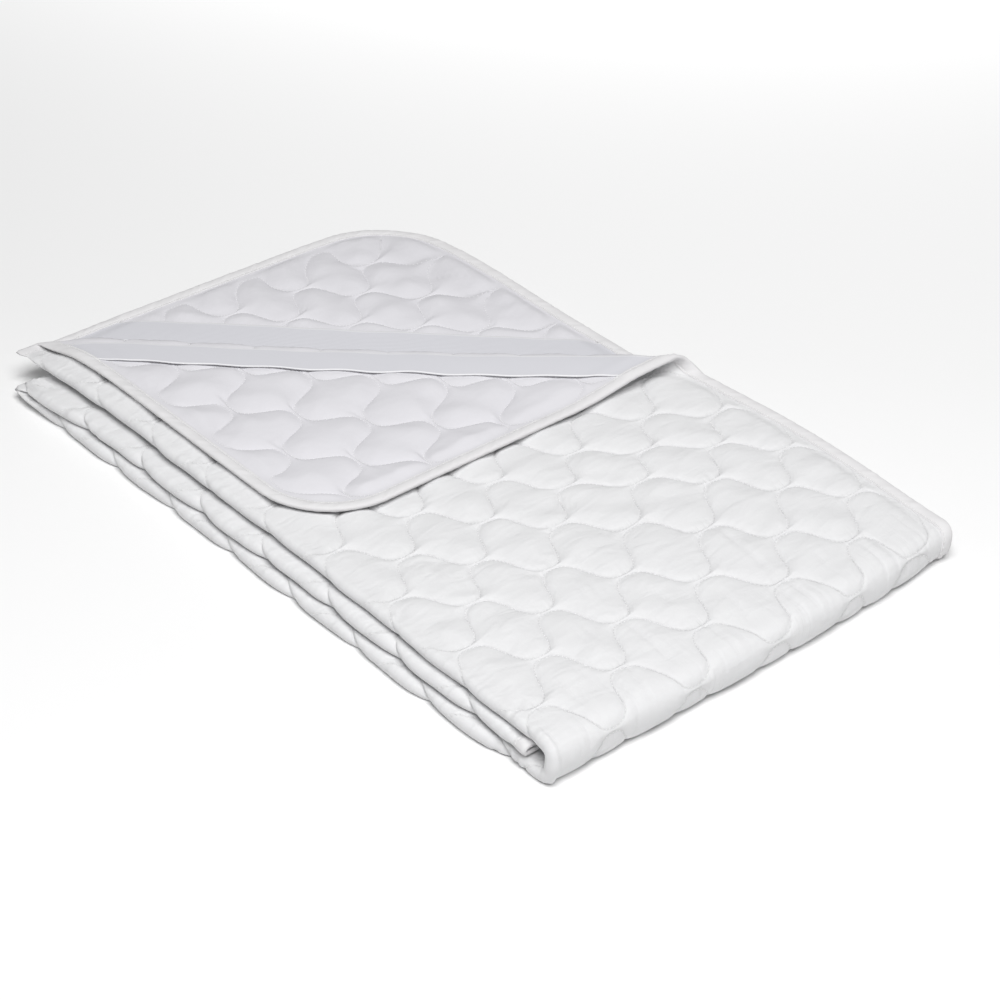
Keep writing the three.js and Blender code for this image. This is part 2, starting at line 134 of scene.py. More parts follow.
# the far end of the lower runs is gathered into a pleated tip, and the top run's into a point
GATHERED_TIP = (-335 * mm, -222 * mm, 10 * mm)
TIP_REACH = 75 * mm
TIP_SHARE = 0.78
TIP_PLEATS = 16
TIP_PLEAT_DEPTH = 1.1 * mm
POINTED_TIP = (-352 * mm, -200 * mm, 28.5 * mm)
POINTED_TIP_REACH = 62 * mm
POINTED_TIP_SHARE = 0.82
POINTED_TIP_PULL = (-2 * mm, -4 * mm)
POINTED_TIP_PULL_REACH = 22 * mm
# the turned-back fold is drawn towards the near side in its middle: x - y there, and its two ends
TURN_LINE = -169 * mm
TURN_ENDS = (-380 * mm, 183 * mm)
TURN_BOW = 9 * mm
TURN_BOW_REACH = 22 * mm
TOP_RUN_UNDERSIDE = TOP_RUN_Z - LAYER_PITCH - 1.5 * mm
UNDER_BLEND = 2 * mm
OVER_BLEND = 3 * mm


def smooth_step(share):
    """0 up to 0, 1 from 1 on, and a smooth rise between."""
    share = np.clip(share, 0, 1)
    return share * share * (3 - 2 * share)


# a ripple is a sum of waves of uneven lengths, which is mostly under 3 high
RIPPLE_WAVES = 7
WAVES_PER_SIZE = (0.7, 1.4)
RIPPLE_HEIGHT = 3


def ripple(along, across, size, seed):
    """Smooth uneven waves of about that size, from about -1 to 1, the same in each run."""
    draws = np.random.default_rng(seed)
    total = 0
    for _ in range(RIPPLE_WAVES):
        angle, start = draws.uniform(0, 2 * np.pi, 2)
        turns = 2 * np.pi * draws.uniform(*WAVES_PER_SIZE) / size
        total = total + np.sin(
            turns * (along * np.cos(angle) + across * np.sin(angle)) + start
        )
    return total / RIPPLE_HEIGHT


def side_fold_y(along):
    """How far out the long fold lies."""
    places, sides = SIDE_FOLD_LINE.T
    row = np.clip(np.searchsorted(places, along) - 1, 0, len(places) - 2)
    share = (along - places[row]) / (places[row + 1] - places[row])
    return sides[row] + (sides[row + 1] - sides[row]) * smooth_step(share)


def top_run_z(along):
    """The top run's loose end lies a little higher."""
    return TOP_RUN_Z + FREE_END_LIFT * smooth_step(1 - along / TOP_RUN_END) ** 2


def near_fold(turn):
    """The near fold is a little square: its middle line there, and the direction it faces."""
    s, c = abs(np.sin(turn)), np.cos(turn)
    facing = np.stack([s ** (2 - NEAR_FOLD_ROUNDNESS),
                       np.sign(c) * abs(c) ** (2 - NEAR_FOLD_ROUNDNESS)])
    line = np.stack([s ** NEAR_FOLD_ROUNDNESS, np.sign(c) * abs(c) ** NEAR_FOLD_ROUNDNESS])
    return NEAR_RADIUS * line, facing / np.hypot(*facing)


def run_at(along):
    """The folded pad's middle line along the pack, and the direction its outer half faces."""
    near_line, near_facing = near_fold((along - TOP_RUN_END) / NEAR_RADIUS)
    far_turn = (along - BOTTOM_RUN_END) / FAR_RADIUS
    runs = [along <= TOP_RUN_END, along <= BOTTOM_RUN_START, along <= BOTTOM_RUN_END,
            along <= MIDDLE_RUN_START]
    nx = np.select(runs, [0, near_facing[0], 0, -np.sin(far_turn)], 0)
    nz = np.select(runs, [1, near_facing[1], -1, -np.cos(far_turn)], 1)
    x = np.select(runs, [
        FREE_END_X + along,
        NEAR_FOLD_X + near_line[0],
        NEAR_FOLD_X - (along - BOTTOM_RUN_START),
        FAR_FOLD_X + FAR_RADIUS * nx,
    ], FAR_FOLD_X + (along - MIDDLE_RUN_START) * MIDDLE_RUN_EASE)
    z = np.select(runs, [
        top_run_z(along),
        (TOP_RUN_Z + BOTTOM_RUN_Z) / 2 + near_line[1],
        BOTTOM_RUN_Z,
        (MIDDLE_RUN_Z + BOTTOM_RUN_Z) / 2 + FAR_RADIUS * nz,
    ], MIDDLE_RUN_Z)
    return x, z, nx, nz


def turn_radius(along, across):
    """The turned-back fold is tight at its pointed tip and a round hump at the bound side."""
    share = 0.5 + (along - across) / (2 * TURN_DISTANCE)
    return TIP_RADIUS + (HUMP_RADIUS - TIP_RADIUS) * np.clip(share, 0, 1) ** HUMP_ONSET


def turned_back(along, across, out, radius, past):
    """Where the turned-back corner lies; past is how far a place is beyond the fold's start."""
    flat = np.maximum(past - np.pi * radius, 0)
    angle = np.minimum(past / radius, np.pi)
    drop = smooth_step(flat / FLAP_DROP)
    on_arc = flat == 0
    rise = np.where(on_arc, radius * (1 - np.cos(angle)),
                    FLAP_REST + (2 * radius - FLAP_REST) * (1 - drop))
    reach = np.where(on_arc, (radius - out) * np.sin(angle), -flat)
    curl = 1 - smooth_step(edge_distance(along, across) / FLAP_EDGE_REACH)
    curl = curl * smooth_step(flat / (FLAP_DROP / 2))
    rise = rise + FLAP_EDGE_LIFT * curl
    foot_along = along + past / np.sqrt(2)
    foot_across = across + past / np.sqrt(2)
    over_along = foot_along - reach / np.sqrt(2)
    return np.stack([
        FREE_END_X + over_along,
        side_fold_y(foot_along) + SIDE_FOLD_START - foot_across + reach / np.sqrt(2),
        top_run_z(over_along) + HALF_PITCH + rise + out * np.where(on_arc, np.cos(angle), -1),
    ], -1)


def settled(points):
    """The pack as it has settled, with its dents, both its tips and the bow of the turned fold."""
    x, y, z = points.T
    shift_x, shift_y, lift = 0, 0, 1
    for centre_x, centre_y, reach, dx, dy, share in SETTLING:
        near = np.exp(-((x - centre_x) ** 2 + (y - centre_y) ** 2) / reach ** 2)
        shift_x = shift_x + dx * near
        shift_y = shift_y + dy * near
        lift = lift + share * near
    level = z * lift
    from_tip = np.hypot(x - GATHERED_TIP[0], y - GATHERED_TIP[1]) / TIP_REACH
    under = smooth_step((TOP_RUN_UNDERSIDE + UNDER_BLEND - z) / UNDER_BLEND)
    pinch = TIP_SHARE * smooth_step(1 - from_tip) * under
    pleat = np.sin(TIP_PLEATS * np.arctan2(z - GATHERED_TIP[2], x - GATHERED_TIP[0]))
    shift_y = shift_y + TIP_PLEAT_DEPTH * pleat * smooth_step(1 - from_tip) * under
    level = level + (GATHERED_TIP[2] - level) * pinch
    from_point = np.hypot(x - POINTED_TIP[0], y - POINTED_TIP[1])
    over = smooth_step((z - TOP_RUN_UNDERSIDE) / OVER_BLEND)
    pinch = POINTED_TIP_SHARE * smooth_step(1 - from_point / POINTED_TIP_REACH) * over
    level = level + (POINTED_TIP[2] - level) * pinch
    pull = np.exp(-((from_point / POINTED_TIP_PULL_REACH) ** 2)) * over
    shift_x, shift_y = shift_x + POINTED_TIP_PULL[0] * pull, shift_y + POINTED_TIP_PULL[1] * pull
    share = ((x + y) / np.sqrt(2) - TURN_ENDS[0]) / (TURN_ENDS[1] - TURN_ENDS[0])
    beside = (x - y - TURN_LINE) / np.sqrt(2) / TURN_BOW_REACH
    bow = TURN_BOW * np.sin(np.pi * np.clip(share, 0, 1)) * np.exp(-(beside ** 2)) * over
    shift_x, shift_y = shift_x + bow / np.sqrt(2), shift_y - bow / np.sqrt(2)
    return np.stack([x + shift_x, y + shift_y, np.maximum(level, 0)], -1)


def place(along, across, out):
    """Where a point of the cloth lies: out is from its middle towards its top side."""
    along, across, out = np.broadcast_arrays(
        *(np.asarray(value, float) for value in (along, across, out))
    )
    radius = turn_radius(along, across)
    past = (TURN_DISTANCE - along - across) / np.sqrt(2) + np.pi * radius / 2
    turned = (past > 0) & (across < SIDE_FOLD_START) & (along < TOP_RUN_END)
    over = turned_back(along, across, out, radius, past)
    turn = (np.clip(across, SIDE_FOLD_START, SIDE_FOLD_END) - SIDE_FOLD_START) / HALF_PITCH
    away = np.where(across > LONG_FOLD, across - SIDE_FOLD_END, SIDE_FOLD_START - across)
    side = side_fold_y(along) - fold_bulge(along, across)
    y = side + np.maximum(away, 0) - (HALF_PITCH + out) * np.sin(turn)
    x, z, nx, nz = run_at(along)
    height = (HALF_PITCH + out) * np.cos(turn)
    folded = np.stack([x + height * nx, y, z + height * nz], -1)
    return settled(np.where(turned[..., None], over, folded).reshape(-1, 3))


# The quilted pad
# Two cloths with a thin filling, sewn through in mirrored wave lines that nearly meet. The top
# cloth is a smooth white microfibre, the underside a soft pale non-woven.
HALF_CELL = 39.8 * mm
CELL_ROW = 39.6 * mm
FIRST_COLUMN = 55 * mm
FIRST_ROW = 33.5 * mm
WAVE = 18.5 * mm
WAVE_FULLNESS = 1.7
SEAM_STEPS = 96
LAST_SEAM = 48
SHOULDER = 6 * mm
TOP_SHOULDER_SHARE = 0.42
UNDER_SHOULDER_SHARE = 0.15
CROWN_REACH = 25 * mm
PUFF_UNEVENNESS = 0.18
PUFF_UNEVEN_SIZE = 40 * mm
GATHER_REACH = (8 * mm, 17 * mm)
HALF_AT_EDGE = 0.9 * mm
HALF_AT_STITCH = 0.6 * mm
HALF_AT_PUFF = 2.6 * mm
HALF_AT_OPEN_PUFF = 6 * mm
LEAST_HALF = 0.45 * mm
# the lowest layer is flat where it rests, apart from shallow hollows along its seams
HALF_ON_FLOOR = BOTTOM_RUN_Z - HALF_PITCH
FLOOR_STITCH_HOLLOW = 0.7 * mm
FLOOR_PUFF_FULLNESS = 1.6
FLOOR_FROM_FOLD = 16 * mm
BOUND_BAND = 12 * mm
EDGE_RISE = 13 * mm
EDGE_PULL = 0.7 * mm
EDGE_PULL_REACH = 14 * mm
EDGE_PULL_SIZE = 17 * mm
# the rolls of the folded side
FOLD_BULGE_AT_STITCH = -2.5 * mm
FOLD_BULGE_AT_PUFF = 1.9 * mm
FOLD_BULGE_REACH = 13 * mm
FOLD_UNEVENNESS = 0.9 * mm
FOLD_UNEVEN_SIZE = 70 * mm
ROLL_HALF_AT_STITCH = 1.2 * mm
ROLL_HALF_AT_PUFF = 2.8 * mm
ROLL_SHOULDER = 24 * mm
ROLL_PUFFS_SHARE = 0.75
TOP_ROLL_RELIEF = 0.3
ROLL_RELIEF_BEFORE = 30 * mm
ROLL_RELIEF_RISE = 50 * mm
# the near fold, drawn tight from a little before it to a little after it
NEAR_FOLD_DRAWN = 0.75
DRAWN_BEFORE = 45 * mm
DRAWN_AFTER = 20 * mm
DRAWN_RISE = 40 * mm
# the elastics lie at these distances from their corners, along and across added up
STRAP_WIDTH = 30 * mm
UNDER_STRAP_DISTANCE = 338 * mm
FLAP_STRAP_DISTANCE = 351 * mm
STRAP_CLEARANCE = 3 * mm
STRAP_SOFTNESS = 9 * mm
OPEN_PAST_TURN = 22 * mm
OPEN_SOFTNESS = 14 * mm
DRIFT_FREE_FROM_EDGE = 40 * mm

# where the cloth has crept under the needles: centre along, across, reach, shift along, across
QUILTING_DRIFT = [
    (124 * mm, 56 * mm, 139 * mm, -9 * mm, -14 * mm),
    (97 * mm, 766 * mm, 229 * mm, 13 * mm, -25 * mm),
    (426 * mm, 120 * mm, 100 * mm, 21 * mm, 15 * mm),
    (705 * mm, 45 * mm, 43 * mm, -2 * mm, 17 * mm),
    (607 * mm, 289 * mm, 149 * mm, 3 * mm, 12 * mm),
    (576 * mm, 373 * mm, 96 * mm, -6 * mm, -12 * mm),
    (498 * mm, 123 * mm, 77 * mm, -16 * mm, -17 * mm),
]


def drift(along, across):
    """How far the cloth has crept at a place of the even pattern."""
    shift_along, shift_across = 0, 0
    for centre_along, centre_across, reach, da, db in QUILTING_DRIFT:
        near = np.exp(-((along - centre_along) ** 2 + (across - centre_across) ** 2) / reach ** 2)
        shift_along = shift_along + da * near
        shift_across = shift_across + db * near
    free = smooth_step(edge_distance(along, across) / DRIFT_FREE_FROM_EDGE)
    return shift_along * free, shift_across * free


def drifted(along, across):
    """Where a place of the even pattern lies on the cloth."""
    shift_along, shift_across = drift(along, across)
    return along + shift_along, across + shift_across


def pattern_at(along, across):
    """Which place of the even pattern lies at a place on the cloth."""
    even_along, even_across = along, across
    for _ in range(4):
        shift_along, shift_across = drift(even_along, even_across)
        even_along, even_across = along - shift_along, across - shift_across
    return even_along, even_across


def stitch_line(n, across):
    """Where seam n runs along the pad. Each seam mirrors the one before it."""
    turn = WAVE_FULLNESS * np.cos(np.pi * (across - FIRST_ROW) / CELL_ROW)
    swing = WAVE * np.tanh(turn) / np.tanh(WAVE_FULLNESS)
    return FIRST_COLUMN + HALF_CELL * (n - 0.5) + np.where(n % 2 == 0, swing, -swing)


# a crease runs on past its ends by a share of its length, and fades over a share of it
CREASE_OVERRUN = 0.15
CREASE_FADE = 0.4
# creases of either side: start along and across, end along and across, width, depth (mm)
TOP_CREASES = [
    (518, 14, 507, 32, 3, 1.6), (590, 13, 578, 28, 3, 1.6), (485, 16, 478, 38, 3, 1.2),
    (493, 14, 485, 44, 3, 1.4), (451, 17, 439, 31, 4, 1.1), (478, 50, 471, 76, 3.5, 1.6),
    (466, 50, 458, 94, 3, 1.4), (520, 50, 515, 76, 4, 1.1), (543, 50, 540, 66, 5, 0.8),
    (606, 73, 618, 81, 3, 0.8), (566, 108, 559, 118, 3, 0.7), (547, 84, 550, 122, 2, -0.5),
    (642, 113, 662, 119, 3, 0.9), (519, 126, 521, 166, 3.5, 1.8), (452, 134, 450, 168, 4, 1.2),
    (471, 134, 476, 166, 4, 1.1), (573, 148, 640, 157, 4, 1.2), (480, 168, 484, 220, 3, 1.6),
    (506, 166, 511, 214, 5, 1.1), (562, 164, 561, 192, 2.5, 1.1), (634, 201, 668, 208, 3, 1.1),
    (447, 208, 445, 246, 4.5, 0.9), (472, 208, 474, 238, 4, 1.1), (528, 210, 541, 264, 2.5, 1.6),
    (588, 257, 603, 240, 3.5, 0.9), (603, 240, 624, 238, 3.5, 0.9), (566, 269, 580, 275, 3, 1.1),
    (564, 279, 579, 285, 3, 1.1), (617, 279, 670, 284, 4, 1.5), (532, 268, 521, 282, 3, 1.2),
    (537, 288, 512, 323, 4, 1.9), (509, 304, 507, 326, 3, 1.2), (544, 294, 540, 322, 3.5, 0.9),
    (603, 307, 620, 310, 2.5, 0.7), (603, 315, 621, 319, 2.5, 0.8),
    (651, 309, 682, 321, 3.5, 1.4), (478, 335, 464, 362, 3.5, 1.8),
    (493, 334, 477, 362, 3.5, 1.6), (504, 334, 489, 362, 4, 1.8), (521, 333, 515, 352, 3, 1.1),
    (456, 368, 447, 390, 4, 1.4), (440, 370, 436, 394, 4, 0.8), (537, 360, 535, 398, 3.5, 1.2),
    (519, 366, 519, 398, 3, 0.7), (551, 351, 568, 355, 2.5, 0.8), (634, 347, 652, 341, 3, 0.8),
    (650, 352, 670, 362, 3, 1.1), (634, 361, 662, 364, 2.5, 1.1), (504, 394, 513, 405, 3, 1.6),
    (640, 392, 645, 408, 2.5, 1.8), (650, 150, 688, 158, 3, 1.2), (652, 164, 692, 171, 3, 1.2),
    (655, 77, 694, 83, 3, 0.9), (654, 65, 694, 68, 3, 0.7), (652, 236, 694, 239, 3, 1.1),
    (660, 375, 700, 378, 3, 0.8), (662, 330, 702, 334, 3, 1.1), (668, 404, 724, 404, 2.5, -1.6),
    (722, 398, 725, 416, 2.5, 1.2), (730, 398, 731, 414, 2, 0.9), (738, 400, 741, 416, 2.5, 1.2),
    (750, 398, 752, 412, 3, 1.1), (1368, 404, 1332, 388, 3, 1.8), (1370, 408, 1336, 399, 3, 1.6),
    (1370, 411, 1340, 412, 3, 1.6), (1372, 404, 1402, 390, 3, 1.8),
    (1372, 408, 1398, 402, 3, 1.5), (1462, 398, 1468, 414, 2.5, 1.2),
    (1476, 398, 1480, 412, 2.5, 1.1), (1540, 400, 1545, 414, 2.5, 0.9),
    (1553, 398, 1556, 412, 2, 0.9),
]
UNDER_CREASES = [
    (131, 26, 129, 46, 3, 1.5), (88, 62, 88, 82, 3, 1.4), (165, 58, 166, 76, 3, 1.2),
    (50, 112, 50, 130, 3, 1.4), (128, 104, 127, 122, 3, 1.4), (92, 148, 93, 162, 3, 1.4),
    (57, 198, 56, 216, 3, 1.4), (205, 26, 206, 42, 3, 1.2), (96, 14, 93, 42, 4, 2),
    (60, 16, 51, 36, 3.5, 1.6), (240, 20, 243, 34, 3, 1.2), (20, 250, 30, 262, 3, 1.1),
    (64, 702, 74, 712, 3, 1.4), (103, 702, 100, 716, 3, 1.4), (142, 660, 143, 678, 3, 1.4),
    (62, 664, 60, 680, 3, 1.2), (100, 622, 101, 640, 3, 1.2), (180, 700, 182, 716, 3, 1.2),
    (222, 724, 224, 742, 3, 1.4), (125, 745, 150, 778, 4, 2), (60, 748, 40, 756, 4, 1.6),
    (206, 758, 208, 786, 4, 1.6), (222, 750, 233, 782, 4, 1.9), (168, 752, 176, 782, 4, 1.8),
    (14, 655, 26, 664, 4, 1.6), (14, 735, 30, 742, 4, 1.5),
]


def seam_table():
    """Distances to the nearest seam, over the quarter of the pattern that all others mirror."""
    rows = np.arange(-25, 65, 0.2) * mm + FIRST_ROW
    line = stitch_line(np.ones_like(rows), rows) - FIRST_COLUMN
    seams = np.concatenate([
        np.stack([beside, rows - FIRST_ROW], 1) for beside in (line, -line, 2 * HALF_CELL - line)
    ])
    u, v = np.meshgrid(np.linspace(0, HALF_CELL, SEAM_STEPS + 1),
                       np.linspace(0, CELL_ROW, SEAM_STEPS + 1), indexing="ij")
    return np.stack([
        np.sqrt(((np.stack([a, b], 1)[:, None] - seams) ** 2).sum(-1).min(1))
        for a, b in zip(u, v)
    ])


SEAM_TABLE = seam_table()


def stitch_distance(along, across):
    """How far a place of the even pattern is from the nearest seam."""
    u = abs((along - FIRST_COLUMN + HALF_CELL) % (2 * HALF_CELL) - HALF_CELL)
    v = abs((across - FIRST_ROW + CELL_ROW) % (2 * CELL_ROW) - CELL_ROW)
    u, v = u / HALF_CELL * SEAM_STEPS, v / CELL_ROW * SEAM_STEPS
    i = np.clip(u.astype(int), 0, SEAM_STEPS - 1)
    j = np.clip(v.astype(int), 0, SEAM_STEPS - 1)
    u, v = u - i, v - j
    low = SEAM_TABLE[i, j] * (1 - u) + SEAM_TABLE[i + 1, j] * u
    high = SEAM_TABLE[i, j + 1] * (1 - u) + SEAM_TABLE[i + 1, j + 1] * u
    return low * (1 - v) + high * v


def dome(distance, shoulder):
    """A round rise from 0 on a seam to 1 at a shoulder's width from it."""
    return np.sqrt(1 - (1 - np.clip(distance / shoulder, 0, 1)) ** 2)


def puff(along, across, side):
    """0 on a seam, 1 on the crown of a cell, which stands up quicker on the top side."""
    distance = stitch_distance(*pattern_at(along, across))
    shoulder = np.where(side > 0, TOP_SHOULDER_SHARE, UNDER_SHOULDER_SHARE)
    crown = 1 - (1 - np.clip(distance / CROWN_REACH, 0, 1)) ** 2
    rise = shoulder * dome(distance, SHOULDER) + (1 - shoulder) * crown
    return rise * (1 + PUFF_UNEVENNESS * ripple(along, across, PUFF_UNEVEN_SIZE, 3))


def gather(along, across):
    """1 where two seams nearly meet and pull the cloth together, 0 in the open cells."""
    u = abs((along - FIRST_COLUMN + HALF_CELL) % (2 * HALF_CELL) - HALF_CELL)
    v = abs((across - FIRST_ROW + CELL_ROW) % (2 * CELL_ROW) - CELL_ROW)
    beyond = u / HALF_CELL + v / CELL_ROW > 1
    u, v = np.where(beyond, HALF_CELL - u, u), np.where(beyond, CELL_ROW - v, v)
    return np.exp(-((u / GATHER_REACH[0]) ** 2) - (v / GATHER_REACH[1]) ** 2)


def roll_puff(along, across):
    """The folded side's long puffs: 0 on every other seam, which leans along the roll."""
    even_along, even_across = pattern_at(along, across)
    line = stitch_line(np.zeros_like(even_along), even_across)
    from_seam = (even_along - line) % (2 * HALF_CELL)
    return dome(np.minimum(from_seam, 2 * HALF_CELL - from_seam), ROLL_SHOULDER)


def roll_relief(along):
    """The top run's roll is drawn nearly smooth, and the rolls below it are full of puffs."""
    below = smooth_step((along - TOP_RUN_END + ROLL_RELIEF_BEFORE) / ROLL_RELIEF_RISE)
    return TOP_ROLL_RELIEF + (1 - TOP_ROLL_RELIEF) * below


def on_roll(across):
    """1 on the rolls of the folded side, 0 away from them."""
    return np.exp(-(((across - LONG_FOLD) / FOLD_BULGE_REACH) ** 2))


def fold_bulge(along, across):
    """How far the rolls swell out at their puffs and draw in at their seams."""
    swell = (FOLD_BULGE_AT_PUFF - FOLD_BULGE_AT_STITCH) * roll_puff(along, across)
    swell = FOLD_BULGE_AT_STITCH + swell
    uneven = FOLD_UNEVENNESS * ripple(along, 0 * across, FOLD_UNEVEN_SIZE, 5)
    return on_roll(across) * (swell * roll_relief(along) + uneven)


def crease_height(along, across, side):
    """The creases of the cloth as troughs with a soft lip on either side."""
    height = 0 * along
    rows = [(True, *row) for row in TOP_CREASES] + [(False, *row) for row in UNDER_CREASES]
    for on_top, start_along, start_across, end_along, end_across, width, depth in rows:
        run_along, run_across = (end_along - start_along) * mm, (end_across - start_across) * mm
        length = np.hypot(run_along, run_across)
        da, db = along - start_along * mm, across - start_across * mm
        share = (da * run_along + db * run_across) / length ** 2
        aside = (da * run_across - db * run_along) / length / (width * mm)
        ends = smooth_step((share + CREASE_OVERRUN) / CREASE_FADE)
        ends = ends * smooth_step((1 + CREASE_OVERRUN - share) / CREASE_FADE)
        trough = (aside ** 2 - 1) * np.exp(-(aside ** 2))
        height = height + np.where(side > 0, on_top, not on_top) * ends * trough * depth * mm
    return height


def edge_distance(along, across):
    """How far a place is from the pad's edge."""
    a = np.minimum(along, PAD_LENGTH - along)
    b = np.minimum(across, PAD_WIDTH - across)
    round_part = CORNER_RADIUS - np.hypot(CORNER_RADIUS - a, CORNER_RADIUS - b)
    return np.where((a > CORNER_RADIUS) | (b > CORNER_RADIUS), np.minimum(a, b), round_part)


def open_share(along, across, side):
    """1 where this side of the cloth is open to view, so that its cells stand at full height."""
    upper = across < SIDE_FOLD_START
    past_turn = along + across - TURN_DISTANCE - OPEN_PAST_TURN
    top = np.where(upper & (along < BOTTOM_RUN_START), smooth_step(past_turn / OPEN_SOFTNESS), 0)
    top = top * smooth_step((SIDE_FOLD_START - across) / OPEN_SOFTNESS)
    corner = np.where(upper, along + across, along + PAD_WIDTH - across)
    strap = np.where(upper, FLAP_STRAP_DISTANCE, UNDER_STRAP_DISTANCE)
    before_strap = strap - STRAP_WIDTH / np.sqrt(2) - corner - STRAP_CLEARANCE
    under = smooth_step(before_strap / STRAP_SOFTNESS)
    return np.where(side > 0, top, under)


def near_fold_share(along):
    """1 round the near fold, where the cloth is drawn tight, 0 away from it."""
    start = smooth_step((along - TOP_RUN_END + DRAWN_BEFORE) / DRAWN_RISE)
    return start * smooth_step((BOTTOM_RUN_START + DRAWN_AFTER - along) / DRAWN_AFTER)


def half_thickness(along, across, side):
    """How far the face of that side lies from the cloth's middle."""
    from_edge = edge_distance(along, across) - BOUND_BAND
    rise = smooth_step(from_edge / EDGE_RISE)
    drawn = 1 - NEAR_FOLD_DRAWN * near_fold_share(along)
    shown = open_share(along, across, side)
    crown = HALF_AT_PUFF + (HALF_AT_OPEN_PUFF - HALF_AT_PUFF) * shown * drawn
    height = puff(along, across, side)
    roll = on_roll(across) * (side > 0)
    height = height + (roll_puff(along, across) - height) * roll * ROLL_PUFFS_SHARE
    crown = crown + (ROLL_HALF_AT_PUFF - crown) * roll
    roll_seam = crown - (crown - ROLL_HALF_AT_STITCH) * roll_relief(along)
    seam = HALF_AT_STITCH + (roll_seam - HALF_AT_STITCH) * roll
    full = seam + (crown - seam) * height
    pull = np.exp(-np.maximum(from_edge, 0) / EDGE_PULL_REACH)
    edge_run = np.where(across < LONG_FOLD, along - across, along + across)
    full = full + EDGE_PULL * pull * ripple(edge_run, 0 * edge_run, EDGE_PULL_SIZE, 7) * shown
    full = full + crease_height(along, across, side)
    on_floor = (side > 0) & (across < SIDE_FOLD_START - FLOOR_FROM_FOLD)
    on_floor = on_floor & (along > BOTTOM_RUN_START) & (along < BOTTOM_RUN_END)
    hollow = FLOOR_STITCH_HOLLOW * (1 - np.minimum(height * FLOOR_PUFF_FULLNESS, 1))
    full = np.where(on_floor, HALF_ON_FLOOR - hollow, np.maximum(full, LEAST_HALF))
    return HALF_AT_EDGE + (full - HALF_AT_EDGE) * rise


# the net's own sizes: how far its columns crowd to the seams, and where it is finest
COLUMN_CROWDING = 0.06
END_COLUMN = 10 * mm
EDGE_ROW = 5 * mm
HALF_ROWS = 38
MOST_HALVINGS = 3
FINE_BY_ROLL = 18 * mm
FINE_BY_EDGE = 40 * mm
FINE_AFTER_NEAR_FOLD = 20 * mm
TOP_FINE_BEFORE_TURN = 22 * mm
UNDER_FINE_PAST_TURN = 14 * mm


def row_start(across):
    """How far the pad's outline is from the end of the pad, which is round at its corners."""
    b = np.clip(np.minimum(across, PAD_WIDTH - across), 0, CORNER_RADIUS)
    return CORNER_RADIUS - np.sqrt(CORNER_RADIUS ** 2 - (CORNER_RADIUS - b) ** 2)


def column_place(column, across):
    """Columns of the net run along the stitch lines, evenly spaced between them."""
    start = row_start(across)
    step = (column - FIRST_COLUMN) / HALF_CELL + 0.5
    n = np.clip(np.floor(step), 0, LAST_SEAM - 1)
    t = step - n
    t = t - COLUMN_CROWDING * np.sin(2 * np.pi * t)
    left, right = stitch_line(n, across), stitch_line(n + 1, across)
    inner = left + t * (right - left)
    first_column = FIRST_COLUMN - HALF_CELL / 2
    last_column = first_column + HALF_CELL * LAST_SEAM
    line = stitch_line(np.zeros_like(across), across)
    before = start + (line - start) * column / first_column
    line = stitch_line(np.full_like(across, LAST_SEAM), across)
    share = (column - last_column) / (PAD_LENGTH - last_column)
    after = line + (PAD_LENGTH - start - line) * share
    along = np.select([column < first_column, column > last_column], [before, after], inner)
    return np.clip(along, start, PAD_LENGTH - start)


def wanted_fineness(column, across, side):
    """How many times a face of the net is halved: most where the cloth is open to view."""
    from_fold = abs(across - LONG_FOLD)
    hidden = 1 if min(from_fold, across, PAD_WIDTH - across) < FINE_BY_EDGE else 0
    if side > 0:
        if from_fold < FINE_BY_ROLL:
            return MOST_HALVINGS
        if column > BOTTOM_RUN_START + FINE_AFTER_NEAR_FOLD or across > LONG_FOLD:
            return hidden
        return MOST_HALVINGS if column + across > TURN_DISTANCE - TOP_FINE_BEFORE_TURN else 1
    corner = column + (across if across < LONG_FOLD else PAD_WIDTH - across)
    return MOST_HALVINGS if corner < TURN_DISTANCE + UNDER_FINE_PAST_TURN else hidden


def flat_net():
    """The pad as it lies flat: x is the column, y the row and z 1 on top and -1 underneath."""
    columns = [FIRST_COLUMN + HALF_CELL * k / 2 for k in range(-1, 2 * LAST_SEAM)]
    columns = [0, END_COLUMN] + columns + [PAD_LENGTH - END_COLUMN, PAD_LENGTH]
    rows = [FIRST_ROW + CELL_ROW * k / 2 for k in range(HALF_ROWS)]
    rows = [0, EDGE_ROW, BOUND_BAND] + rows + [PAD_WIDTH - b for b in (BOUND_BAND, EDGE_ROW, 0)]
    # two rows where the long fold starts and ends stand in for the row between them
    rows = [b for b in rows if not SIDE_FOLD_START - EDGE_ROW < b < SIDE_FOLD_END + EDGE_ROW]
    rows = sorted([*rows, SIDE_FOLD_START, SIDE_FOLD_END])
    net = bmesh.new()
    grids = {}
    for side in (1, -1):
        grid = [[net.verts.new((c, r, side)) for c in columns] for r in rows]
        grids[side] = grid
        for low, high in zip(grid, grid[1:]):
            for k in range(len(columns) - 1):
                corners = (low[k], high[k], high[k + 1], low[k + 1])
                net.faces.new(corners if side > 0 else corners[::-1])
    rims = []
    for grid in (grids[1], grids[-1]):
        rims.append(
            grid[0] + [row[-1] for row in grid[1:]] + grid[-1][-2::-1]
            + [row[0] for row in grid[-2:0:-1]]
        )
    top, under = rims
    for k in range(len(top)):
        nxt = (k + 1) % len(top)
        net.faces.new((top[k], top[nxt], under[nxt], under[k]))
    for halving in range(MOST_HALVINGS):
        edges = set()
        for face in net.faces:
            centre = face.calc_center_median()
            if abs(centre.z) < 0.5:
                continue
            if halving < wanted_fineness(centre.x, centre.y, centre.z):
                edges.update(face.edges)
        bmesh.ops.subdivide_edges(net, edges=list(edges), cuts=1, use_grid_fill=True)
    return net


